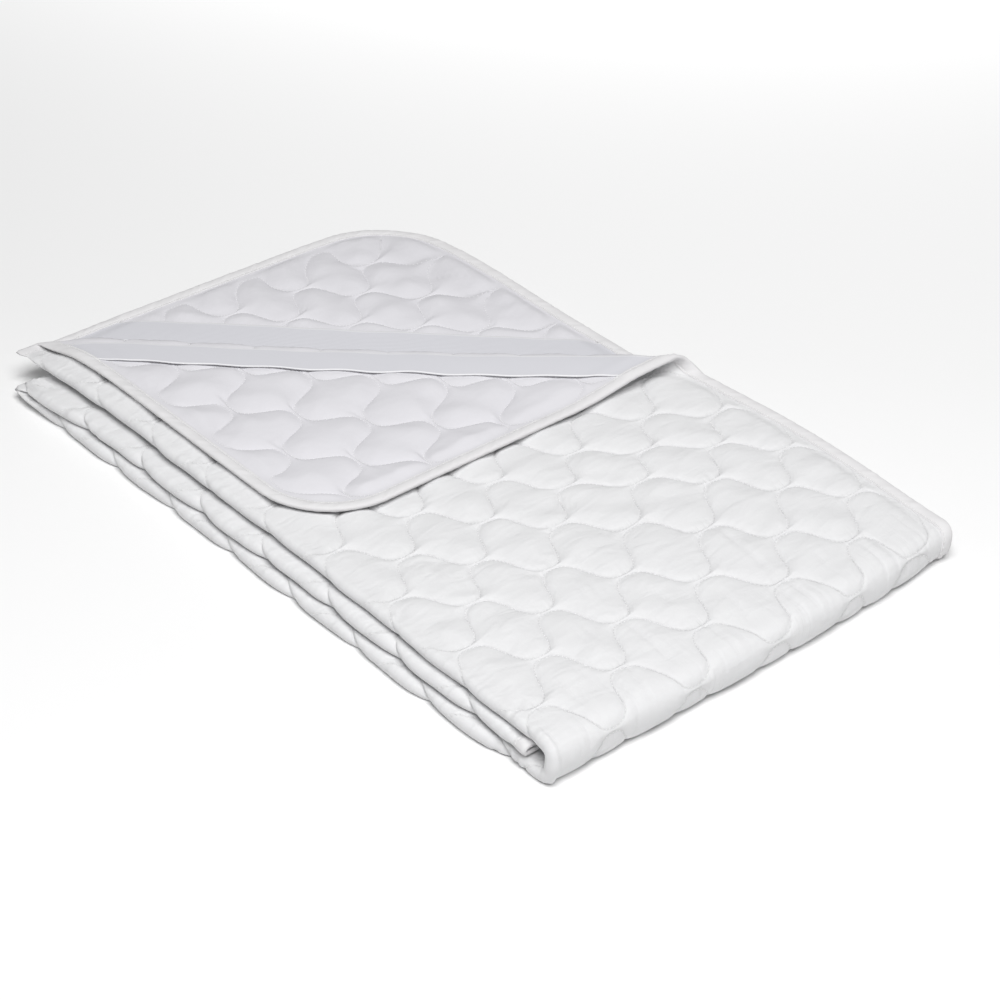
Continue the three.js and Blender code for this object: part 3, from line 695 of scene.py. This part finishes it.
def pad_surface(along, across, side, above=0.0):
    """A point on the pad's top side (side 1) or underside (side -1), or a little above it."""
    return place(along, across, side * (half_thickness(along, across, side) + above))


# how strongly the fine folds of the pulled cloth show round the rolls and round the near fold
ROLLED_FOLDS = 0.85
ROLLED_REACH = 15 * mm
STRETCHED_FOLDS = 0.6
# points nearer than the first are made one, and faces thinner than the second are left out
WELD_DISTANCE = 0.002 * mm
LEAST_EDGE = 0.001 * mm


def pad_mesh():
    net = flat_net()
    flat = np.array([v.co[:] for v in net.verts])
    side = flat[:, 2]
    even_along = column_place(flat[:, 0], flat[:, 1])
    along, across = drifted(even_along, flat[:, 1])
    points = place(along, across, side * half_thickness(along, across, np.sign(side)))
    for vert, point in zip(net.verts, points):
        vert.co = point
    tone = net.loops.layers.uv.new("cloth")
    net.verts.index_update()
    for name, values in (
        # the seam distance places the microfibre's painted shade in the seams' grooves, and rolled
        # fades that painted shade out
        ("seam_distance", stitch_distance(even_along, flat[:, 1])),
        ("gathered", gather(even_along, flat[:, 1])),
        ("rolled", ROLLED_FOLDS * np.exp(-(((across - LONG_FOLD) / ROLLED_REACH) ** 2))),
        ("stretched", STRETCHED_FOLDS * near_fold_share(along)),
    ):
        layer = net.verts.layers.float.new(name)
        for vert in net.verts:
            vert[layer] = values[vert.index]
    for face in net.faces:
        sides = [side[v.index] for v in face.verts]
        face.material_index = 1 if sum(sides) < 0 else 0
        face.smooth = True
        for loop in face.loops:
            loop[tone].uv = (along[loop.vert.index], across[loop.vert.index])
    bmesh.ops.remove_doubles(net, verts=net.verts, dist=WELD_DISTANCE)
    bmesh.ops.dissolve_degenerate(net, edges=net.edges, dist=LEAST_EDGE)
    mesh = bpy.data.meshes.new("quilted_cloth")
    net.to_mesh(mesh)
    net.free()
    return mesh


def linear(hex_colour):
    """An sRGB colour as linear red, green, blue and alpha."""
    parts = [int(hex_colour[k:k + 2], 16) / 255 for k in (0, 2, 4)]
    return [p / 12.92 if p <= 0.04045 else ((p + 0.055) / 1.055) ** 2.4 for p in parts] + [1]


def add_node(material, kind, inputs=(), **settings):
    """A node of a material, with its settings and with values or other nodes' outputs in it."""
    node = material.node_tree.nodes.new(kind)
    for name, value in settings.items():
        setattr(node, name, value)
    for name, value in dict(inputs).items():
        if isinstance(value, bpy.types.NodeSocket):
            material.node_tree.links.new(value, node.inputs[name])
        else:
            node.inputs[name].default_value = value
    return node


def new_material(name):
    material = bpy.data.materials.new(name)
    material.use_nodes = True
    material.node_tree.nodes.clear()
    return material


def finish_material(material, shader):
    output = add_node(material, "ShaderNodeOutputMaterial")
    material.node_tree.links.new(shader.outputs[0], output.inputs["Surface"])
    return material


def microfibre_cloth():
    """Brushed polyester microfibre: matte white, drawn into fine folds where it is pulled."""
    material = new_material("white_microfibre")
    flat = add_node(material, "ShaderNodeUVMap", uv_map="cloth")
    parts = add_node(material, "ShaderNodeSeparateXYZ", {0: flat.outputs[0]})
    heights = []
    # fine folds 5 to 7 mm apart: along the pad at the seams' near meetings and round the near
    # fold, and square to that round the rolls of the folded side
    for name, share_x, share_y, lean, spacing in (
        ("gathered", 0.16, 1.0, 0.0, 4.762 * mm),
        ("stretched", 0.12, 1.0, 0.0, 5.882 * mm),
        ("rolled", 1.0, 0.14, 0.45, 6.667 * mm),
    ):
        strength = add_node(material, "ShaderNodeAttribute", attribute_name=name)
        leaning = add_node(material, "ShaderNodeMath", {
            0: parts.outputs["Y"], 1: lean, 2: parts.outputs["X"],
        }, operation="MULTIPLY_ADD")
        place_x = add_node(material, "ShaderNodeMath", {
            0: leaning.outputs[0], 1: share_x}, operation="MULTIPLY")
        place_y = add_node(material, "ShaderNodeMath", {
            0: parts.outputs["Y"], 1: share_y}, operation="MULTIPLY")
        folds = add_node(material, "ShaderNodeTexNoise", {
            "Vector": add_node(material, "ShaderNodeCombineXYZ", {
                "X": place_x.outputs[0], "Y": place_y.outputs[0]}).outputs[0],
            "Scale": 1 / spacing, "Detail": 2.0, "Roughness": 0.45, "Distortion": 0.25,
        })
        heights.append(add_node(material, "ShaderNodeMath", {
            0: folds.outputs["Fac"], 1: strength.outputs["Fac"]}, operation="MULTIPLY"))
    pulled = add_node(material, "ShaderNodeMath", {
        0: add_node(material, "ShaderNodeMath", {
            0: heights[0].outputs[0], 1: heights[1].outputs[0]}).outputs[0],
        1: heights[2].outputs[0],
    })
    # slack folds 12.5 mm apart run across the pad over the cells
    place_y = add_node(material, "ShaderNodeMath", {
        0: parts.outputs["Y"], 1: 0.38}, operation="MULTIPLY")
    slack = add_node(material, "ShaderNodeTexNoise", {
        "Vector": add_node(material, "ShaderNodeCombineXYZ", {
            "X": parts.outputs["X"], "Y": place_y.outputs[0]}).outputs[0],
        "Scale": 1 / (12.5 * mm), "Detail": 2.5, "Roughness": 0.5, "Distortion": 0.5,
    })
    soft_bump = add_node(material, "ShaderNodeBump", {
        "Height": slack.outputs["Fac"], "Strength": 0.9, "Distance": 2.0 * mm,
    })
    pulled_bump = add_node(material, "ShaderNodeBump", {
        "Height": pulled.outputs[0], "Strength": 0.8, "Distance": 1.6 * mm,
        "Normal": soft_bump.outputs[0],
    })
    # the groove of a seam is about 1 mm wide, and painted shade darkens its bottom; round the rolls
    # this painted shade fades out
    seam = add_node(material, "ShaderNodeAttribute", attribute_name="seam_distance")
    painted_groove_shade = add_node(material, "ShaderNodeMapRange", {
        "Value": seam.outputs["Fac"], "From Min": 0.1 * mm, "From Max": 0.9 * mm,
    })
    rolled = add_node(material, "ShaderNodeAttribute", attribute_name="rolled")
    unshaded = add_node(material, "ShaderNodeMath", {
        0: painted_groove_shade.outputs[0], 1: rolled.outputs["Fac"]}, operation="MAXIMUM")
    # painted shade: D5D5D6 at the bottom of a seam's groove, the cloth's own DEDEDF elsewhere
    colour = add_node(material, "ShaderNodeMix", {
        0: unshaded.outputs[0], 6: linear("D5D5D6"), 7: linear("DEDEDF"),
    }, data_type="RGBA")
    shader = add_node(material, "ShaderNodeBsdfPrincipled", {
        "Base Color": colour.outputs[2], "Roughness": 0.75, "IOR": 1.45,
        "Subsurface Weight": 0.35, "Subsurface Radius": (1, 1, 1), "Subsurface Scale": 4 * mm,
        "Sheen Weight": 0.12, "Sheen Roughness": 0.5, "Normal": pulled_bump.outputs[0],
    })
    return finish_material(material, shader)


def nonwoven_cloth():
    """Soft non-woven polyester: a matte pale lavender grey with a felted grain."""
    material = new_material("pale_nonwoven")
    flat = add_node(material, "ShaderNodeUVMap", uv_map="cloth")
    # its fibres are too fine to show, so their grain is drawn 1.4 mm coarse
    grain = add_node(material, "ShaderNodeTexNoise", {
        "Vector": flat.outputs[0], "Scale": 1 / (1.4286 * mm), "Detail": 3.0, "Roughness": 0.6,
    })
    # soft folds 17 mm apart
    folds = add_node(material, "ShaderNodeTexNoise", {
        "Vector": flat.outputs[0], "Scale": 1 / (16.667 * mm), "Detail": 2.5, "Roughness": 0.5,
    })
    soft_bump = add_node(material, "ShaderNodeBump", {
        "Height": folds.outputs["Fac"], "Strength": 0.5, "Distance": 1.8 * mm,
    })
    bump = add_node(material, "ShaderNodeBump", {
        "Height": grain.outputs["Fac"], "Strength": 0.2, "Distance": 0.3 * mm,
        "Normal": soft_bump.outputs[0],
    })
    shader = add_node(material, "ShaderNodeBsdfPrincipled", {
        "Base Color": linear("D7D6DA"), "Roughness": 0.9, "IOR": 1.45,
        "Normal": bump.outputs[0],
    })
    return finish_material(material, shader)


pad = bpy.data.objects.new("quilted_cloth", pad_mesh())
bpy.context.collection.objects.link(pad)
pad.data.materials.append(microfibre_cloth())
pad.data.materials.append(nonwoven_cloth())
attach(pad, "root")
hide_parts("quilted_pad")


# The quilting thread
# White polyester lockstitch, a stitch each 3.2 mm, sunk in the seams of both sides. Each stitch is
# a small grain of thread; those inside the folds, which nobody sees, are left out.
STITCH_PITCH = 3.2 * mm
STITCH_LENGTH = 2.3 * mm
THREAD_HALF = 0.32 * mm
STITCH_ABOVE = 0.05 * mm
FIRST_STITCH = 1 * mm
STITCH_TRACE = 0.25 * mm
STITCHES_FROM_BINDING = 1.5 * mm
STITCHES_BEFORE_TURN = 10 * mm
STITCHES_BY_ROLL = 20 * mm


def stitch_grains(starts, ends, above):
    """Small closed grains of thread from starts to ends, each with six corners."""
    run = ends - starts
    length = np.linalg.norm(run, axis=1, keepdims=True)
    run = run / length
    across = np.cross(run, above)
    across /= np.linalg.norm(across, axis=1, keepdims=True)
    up = np.cross(across, run)
    middle = (starts + ends) / 2 + up * THREAD_HALF / 2
    rings = [starts, middle + across * THREAD_HALF, middle + up * THREAD_HALF,
             middle - across * THREAD_HALF, middle - up * THREAD_HALF, ends]
    points = np.stack(rings, 1).reshape(-1, 3)
    grain = np.array([(0, k, k % 4 + 1) for k in (1, 2, 3, 4)]
                     + [(5, k % 4 + 1, k) for k in (1, 2, 3, 4)])
    faces = (grain[None] + 6 * np.arange(len(starts))[:, None, None]).reshape(-1, 3)
    # none goes below the floor
    points[:, 2] = np.maximum(points[:, 2], 0)
    return points, faces


def joined(meshes):
    """The points and faces of several meshes as one."""
    points, faces = zip(*meshes)
    starts = np.cumsum([0] + [len(part) for part in points[:-1]])
    return np.concatenate(points), np.concatenate([f + k for f, k in zip(faces, starts)])


def mesh_object(name, points, faces, material):
    mesh = bpy.data.meshes.new(name)
    mesh.from_pydata([tuple(p) for p in points], [], [tuple(f) for f in faces])
    mesh.polygons.foreach_set("use_smooth", [True] * len(mesh.polygons))
    mesh.update()
    mesh.materials.append(material)
    piece = bpy.data.objects.new(name, mesh)
    bpy.context.collection.objects.link(piece)
    return piece


def quilting_stitches():
    """The stitches of every seam, on both sides, where they are open to view."""
    stitches = []
    for n in range(LAST_SEAM + 1):
        first = BOUND_BAND + STITCHES_FROM_BINDING
        across = np.arange(first, PAD_WIDTH - BOUND_BAND, STITCH_TRACE)
        along = stitch_line(np.full_like(across, n), across)
        step = np.hypot(np.diff(along), np.diff(across))
        reach = np.concatenate([[0], np.cumsum(step)])
        for start in np.arange(FIRST_STITCH, reach[-1] - STITCH_LENGTH, STITCH_PITCH):
            stitches.append((n, *np.interp([start, start + STITCH_LENGTH], reach, across)))
    n, start, end = np.array(stitches).T
    start_along, start = drifted(stitch_line(n, start), start)
    end_along, end = drifted(stitch_line(n, end), end)
    sides = []
    for side in (1, -1):
        corner = start_along + np.where(start < LONG_FOLD, start, PAD_WIDTH - start)
        if side > 0:
            shown = (start < LONG_FOLD) & (corner > TURN_DISTANCE - STITCHES_BEFORE_TURN)
            shown &= start_along < BOTTOM_RUN_START
            shown |= abs(start - LONG_FOLD) < STITCHES_BY_ROLL
        else:
            shown = corner < TURN_DISTANCE + UNDER_FINE_PAST_TURN
        shown &= edge_distance(start_along, start) > BOUND_BAND
        first, last, lifted = (
            pad_surface(along[shown], across[shown], side, above) for along, across, above in (
                (start_along, start, STITCH_ABOVE), (end_along, end, STITCH_ABOVE),
                (start_along, start, STITCH_ABOVE + 1 * mm),
            )
        )
        sides.append(stitch_grains(first, last, lifted - first))
    return joined(sides)


def sewing_thread():
    """Spun polyester thread: a little shinier and brighter than the cloth it is sunk in."""
    material = new_material("white_thread")
    shader = add_node(material, "ShaderNodeBsdfPrincipled", {
        "Base Color": linear("F0F0F0"), "Roughness": 0.5, "IOR": 1.48,
    })
    return finish_material(material, shader)


thread = sewing_thread()
quilting = mesh_object("quilting_thread", *quilting_stitches(), thread)
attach(quilting, "root")


# The edge binding
# One strip of white bias binding, folded over the cut edge of the quilted pad and sewn through with
# one row of stitches 1.7 mm from its inner edge. It is a little full between stitch row and edge.
BINDING_LEG = 11 * mm
BINDING_STATION = 2.4 * mm
BINDING_CORNER_STATIONS = 44
BINDING_SEAM = 9.3 * mm
BINDING_STITCH_ABOVE = 0.5 * mm
# uneven fullness, an uneven outline, and slanting wrinkles between the stitches and the edge
BINDING_FULLNESS, BINDING_FULLNESS_SIZE = 0.16, 22 * mm
BINDING_SWAY, BINDING_SWAY_SIZE = 0.25 * mm, 14 * mm
WRINKLE_DEPTH, WRINKLE_SIZE, WRINKLE_LEAN = 0.3, 9 * mm, 1.3
# the cloth's edge, round which the binding closes, and the inner wall between its legs
BINDING_OUTER, BINDING_INNER = -0.6 * mm, 10.8 * mm
STRAP_THICKNESS = 1.1 * mm
STRAP_TUCK_EASE = 6 * mm

# how far in from the pad's edge, and how far out from the pad's faces
BINDING_SECTION = [
    (11.0, 0.15), (10.9, 0.5), (10.2, 0.7), (9.5, 0.45), (9.2, 0.42), (8.6, 0.75),
    (7.4, 1.15), (5.6, 1.4), (3.6, 1.45), (1.8, 1.25), (0.4, 0.8),
]


def edge_stations():
    """Places round the pad's outline, with the direction into the pad."""
    r = CORNER_RADIUS
    stations = []
    corners = [(r, r, 180), (PAD_LENGTH - r, r, 270), (PAD_LENGTH - r, PAD_WIDTH - r, 0),
               (r, PAD_WIDTH - r, 90)]
    for k, (a, b, angle) in enumerate(corners):
        turns = np.radians(np.linspace(angle, angle + 90, BINDING_CORNER_STATIONS))
        arc = np.stack([a + r * np.cos(turns), b + r * np.sin(turns)], 1)
        stations += [(*p, -np.cos(t), -np.sin(t)) for p, t in zip(arc, turns)]
        a2, b2, _ = corners[(k + 1) % 4]
        turn = np.radians(angle + 90)
        end = np.array([a2 + r * np.cos(turn), b2 + r * np.sin(turn)])
        count = int(np.linalg.norm(end - arc[-1]) / BINDING_STATION)
        for share in np.arange(1, count) / count:
            p = arc[-1] + (end - arc[-1]) * share
            stations.append((*p, -np.cos(turn), -np.sin(turn)))
    return np.array(stations)


def tuck(along, across):
    """1 where an elastic's end lies under the binding."""
    upper = across < LONG_FOLD
    corner = np.where(upper, along + across, along + PAD_WIDTH - across)
    strap = np.where(upper, FLAP_STRAP_DISTANCE, UNDER_STRAP_DISTANCE)
    inside = STRAP_WIDTH / np.sqrt(2) + STRAP_TUCK_EASE - abs(corner - strap)
    return smooth_step(inside / STRAP_TUCK_EASE)


def binding_mesh():
    """The binding as one closed ring of cross-sections, swept round the pad's edge."""
    stations = edge_stations()
    along, across, da, db = stations.T
    reach = np.cumsum(np.hypot(np.diff(along, append=along[0]), np.diff(across, append=across[0])))
    full = 1 + BINDING_FULLNESS * ripple(reach, 0 * reach, BINDING_FULLNESS_SIZE, 11)
    edge = BINDING_SWAY * ripple(reach, 0 * reach, BINDING_SWAY_SIZE, 12)
    legs = {1: [], -1: []}
    for side in (1, -1):
        for inset, out in BINDING_SECTION:
            inset = inset * mm + edge * (inset * mm / BINDING_LEG)
            a, b = along + da * inset, across + db * inset
            under = 0
            if side < 0:
                under = STRAP_THICKNESS * tuck(a, b) * smooth_step(inset / STRAP_TUCK_EASE)
            lean = reach + WRINKLE_LEAN * inset * side
            wrinkle = 1 + WRINKLE_DEPTH * ripple(lean, 0 * lean, WRINKLE_SIZE, 13) * min(out, 1)
            thick = HALF_AT_EDGE + out * mm * full * wrinkle + under
            legs[side].append(place(a, b, side * thick))
    rim, inner = (place(along + da * inset, across + db * inset, 0 * along)
                  for inset in (BINDING_OUTER, BINDING_INNER))
    ring = legs[1] + [rim] + legs[-1][::-1] + [inner]
    count, turns = len(ring), len(stations)
    points = np.stack(ring, 1).reshape(-1, 3)
    faces = []
    for s in range(turns):
        a, b = s * count, (s + 1) % turns * count
        faces += [(a + k, b + k, b + (k + 1) % count, a + (k + 1) % count) for k in range(count)]
    return points, faces


def binding_cloth():
    """Woven polyester bias tape: matte white with a faint pink cast and an uneven grain."""
    material = new_material("bias_tape")
    # its weave is too fine to show, so its grain is drawn 3.8 mm coarse
    noise = add_node(material, "ShaderNodeTexNoise", {
        "Vector": add_node(material, "ShaderNodeTexCoord").outputs["Object"],
        "Scale": 1 / (3.846 * mm), "Detail": 3.0, "Roughness": 0.6,
    })
    bump = add_node(material, "ShaderNodeBump", {
        "Height": noise.outputs["Fac"], "Strength": 0.25, "Distance": 0.5 * mm,
    })
    shader = add_node(material, "ShaderNodeBsdfPrincipled", {
        "Base Color": linear("DDDCDD"), "Roughness": 0.8, "IOR": 1.45,
        "Sheen Weight": 0.1, "Normal": bump.outputs[0],
    })
    return finish_material(material, shader)


def binding_stitches():
    """One row of stitches near the binding's inner edge, seen on both sides."""
    along, across, da, db = edge_stations().T
    along, across = np.append(along, along[0]), np.append(across, across[0])
    da, db = np.append(da, da[0]), np.append(db, db[0])
    reach = np.concatenate([[0], np.cumsum(np.hypot(np.diff(along), np.diff(across)))])
    start = np.arange(0, reach[-1] - STITCH_LENGTH, STITCH_PITCH)
    sides = []
    for side in (1, -1):
        places = []
        for shift, above in ((0, 0), (STITCH_LENGTH, 0), (0, 1 * mm)):
            a, b, i, j = (np.interp(start + shift, reach, row) for row in (along, across, da, db))
            a, b = a + i * BINDING_SEAM, b + j * BINDING_SEAM
            under = STRAP_THICKNESS * tuck(a, b) if side < 0 else 0
            out = HALF_AT_EDGE + BINDING_STITCH_ABOVE + above + under
            places.append(place(a, b, side * out))
        sides.append(stitch_grains(places[0], places[1], places[2] - places[0]))
    return joined(sides)


binding = mesh_object("bias_binding", *binding_mesh(), binding_cloth())
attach(binding, "root")
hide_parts("edge_binding")
binding_seam = mesh_object("binding_thread", *binding_stitches(), thread)
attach(binding_seam, "root")


# The corner elastics
# Flat woven elastic, 30 mm wide, cut across each corner on the underside. Its ends are caught in
# the binding seam. Fine ribs run along it, and both its selvedges are a little thicker.
# the binding leaves room for a little more than the webbing's own thickness
WEBBING_THICKNESS = 0.8 * STRAP_THICKNESS
STRAP_REST = 0.1 * mm
STRAP_GAP = 0.2 * mm
STRAP_TUCK = 5 * mm
FLAP_STRAP_BOW = -4 * mm
UNDER_STRAP_BOW = 6.5 * mm
UNDER_STRAP_TILT = 3.5 * mm
STRAP_STEPS, STRAP_COLUMNS = 150, 20
# how much an elastic sways sideways and lifts, and how far its two selvedges differ in that
STRAP_SWAY, STRAP_SWAY_SIZE, STRAP_SWAY_SKEW = 0.7 * mm, 75 * mm, 6 * mm
STRAP_LIFT, STRAP_LIFT_SIZE, STRAP_LIFT_SKEW = 0.1 * mm, 60 * mm, 20 * mm
STRAP_SWAY_RUN = 1.4
SELVEDGE_HEIGHT, SELVEDGE_WIDTH = 0.15 * mm, 1 * mm
# from the first to the second distance from its middle, the webbing turns to its pale selvedge
SELVEDGE_PALE = (13.4 * mm, 14.0 * mm)


def elastic_mesh(distance, under_half, seed):
    """An elastic across a corner, as far from it as the distance, with its places on the flat."""
    steps, widths = STRAP_STEPS, STRAP_COLUMNS
    half = STRAP_WIDTH / np.sqrt(2)
    share, width = np.meshgrid(np.linspace(0, 1, steps + 1), np.linspace(-1, 1, widths + 1),
                               indexing="ij")
    total = distance + half * width
    a = STRAP_TUCK + (total - 2 * STRAP_TUCK) * share
    b = total - a
    run = share * distance
    wave = ripple(run * STRAP_SWAY_RUN, width * STRAP_SWAY_SKEW, STRAP_SWAY_SIZE, seed)
    bow = UNDER_STRAP_BOW if under_half else FLAP_STRAP_BOW
    slack = np.sin(np.pi * np.clip(share, 0, 1))
    shift = STRAP_SWAY * wave + bow * slack / np.sqrt(2)
    a, b = a + shift, b + shift
    inset = np.minimum(a, b)
    clear = smooth_step((inset - BOUND_BAND) / EDGE_RISE)
    rest = HALF_AT_EDGE + (HALF_AT_PUFF - HALF_AT_EDGE) * clear
    uneven = ripple(run, width * STRAP_LIFT_SKEW, STRAP_LIFT_SIZE, seed + 1)
    lift = STRAP_GAP + STRAP_LIFT * uneven
    from_selvedge = (1 - abs(width)) * STRAP_WIDTH / 2
    selvedge = SELVEDGE_HEIGHT * np.exp(-((from_selvedge / SELVEDGE_WIDTH) ** 2))
    if under_half:
        lift = lift + UNDER_STRAP_TILT * slack * (1 - width) / 2
    lower = rest + lift * clear + STRAP_REST
    upper = lower + WEBBING_THICKNESS + selvedge
    across = PAD_WIDTH - b if under_half else b
    shape = (steps + 1, widths + 1)
    grids = [place(a, across, -level).reshape(*shape, 3) for level in (upper, lower)]
    points = np.concatenate([grid.reshape(-1, 3) for grid in grids])
    number = np.arange(points.shape[0]).reshape(2, *shape)
    faces = []
    for layer in (0, 1):
        grid = number[layer]
        for s in range(steps):
            for w in range(widths):
                quad = (grid[s, w], grid[s + 1, w], grid[s + 1, w + 1], grid[s, w + 1])
                faces.append(quad if (layer == 0) == under_half else quad[::-1])
    loops = [np.concatenate([grid[:, 0], grid[-1, 1:], grid[-2::-1, -1], grid[0, -2:0:-1]])
             for grid in number]
    for k in range(len(loops[0])):
        n = (k + 1) % len(loops[0])
        quad = (loops[0][k], loops[1][k], loops[1][n], loops[0][n])
        faces.append(quad if under_half else quad[::-1])
    uv = np.stack([run, width * STRAP_WIDTH / 2], -1).reshape(-1, 2)
    return points, faces, np.concatenate([uv, uv])


def woven_elastic():
    """Woven polyester and rubber elastic: pale grey, matte, ribbed along its length."""
    material = new_material("woven_elastic")
    flat = add_node(material, "ShaderNodeUVMap", uv_map="cloth")
    # a real rib is 0.7 mm wide, drawn at 1.5 mm so that it shows
    ribs = add_node(material, "ShaderNodeTexWave", {
        "Vector": flat.outputs[0], "Scale": 2 * np.pi / (20 * 1.5 * mm), "Distortion": 0.3,
        "Detail": 1.0, "Detail Scale": 2.0,
    }, bands_direction="Y")
    bump = add_node(material, "ShaderNodeBump", {
        "Height": ribs.outputs["Fac"], "Strength": 0.35, "Distance": 0.35 * mm,
    })
    width = add_node(material, "ShaderNodeSeparateXYZ", {0: flat.outputs[0]})
    from_middle = add_node(material, "ShaderNodeMath", {
        0: width.outputs["Y"]}, operation="ABSOLUTE")
    selvedge = add_node(material, "ShaderNodeMapRange", {
        "Value": from_middle.outputs[0],
        "From Min": SELVEDGE_PALE[0], "From Max": SELVEDGE_PALE[1],
    })
    colour = add_node(material, "ShaderNodeMix", {
        0: selvedge.outputs[0], 6: linear("CFCFD4"), 7: linear("EAEAEC"),
    }, data_type="RGBA")
    shader = add_node(material, "ShaderNodeBsdfPrincipled", {
        "Base Color": colour.outputs[2], "Roughness": 0.85, "IOR": 1.45,
        "Normal": bump.outputs[0],
    })
    return finish_material(material, shader)


elastic_material = woven_elastic()
for name, node, distance, under_half, seed in (
    ("elastic_on_flap", "corner_elastic_flap", FLAP_STRAP_DISTANCE, False, 21),
    ("elastic_below", "corner_elastic_under", UNDER_STRAP_DISTANCE, True, 31),
):
    points, faces, uv = elastic_mesh(distance, under_half, seed)
    elastic = mesh_object(name, points, faces, elastic_material)
    layer = elastic.data.uv_layers.new(name="cloth")
    layer.data.foreach_set("uv", uv[[loop.vertex_index for loop in elastic.data.loops]].ravel())
    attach(elastic, "root")
    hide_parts(node)


# The floor and the light
# A plain white floor that runs out to the horizon, as in a photographer's studio. One large light
# stands high on the camera's side, so that each puff has a bright and a dark side, and a smaller
# one behind the pack keeps the floor there pale.
FLOOR_SIZE = 30
LIGHTS = [
    # name, place, what it is turned to, size, power
    ("key", (1.15, -0.6, 3.0), (0, 0, 0), 2.2, 114),
    ("backdrop", (-1.15, 1.25, 1.3), (-1.9, 2.1, 0), 1.2, 26),
]

floor_mesh = bmesh.new()
bmesh.ops.create_grid(floor_mesh, x_segments=1, y_segments=1, size=FLOOR_SIZE / 2)
floor_data = bpy.data.meshes.new("floor")
floor_mesh.to_mesh(floor_data)
floor_mesh.free()
floor = bpy.data.objects.new("floor", floor_data)
bpy.context.collection.objects.link(floor)
paper = new_material("white_floor")
floor_data.materials.append(finish_material(paper, add_node(paper, "ShaderNodeBsdfPrincipled", {
    "Base Color": linear("F4F4F4"), "Roughness": 0.9,
})))

for name, location, target, size, power in LIGHTS:
    lamp = bpy.data.lights.new(name, "AREA")
    lamp.shape = "SQUARE"
    lamp.size = size
    lamp.energy = power
    light = bpy.data.objects.new(name, lamp)
    light.location = location
    light.rotation_mode = "QUATERNION"
    light.rotation_quaternion = (Vector(target) - Vector(location)).to_track_quat("-Z", "Y")
    bpy.context.collection.objects.link(light)

world = bpy.data.worlds.new("studio")
world.use_nodes = True
world.node_tree.nodes["Background"].inputs["Color"].default_value = linear("FFFFFF")
world.node_tree.nodes["Background"].inputs["Strength"].default_value = 0.2
bpy.context.scene.world = world
bpy.context.scene.view_settings.view_transform = "Standard"
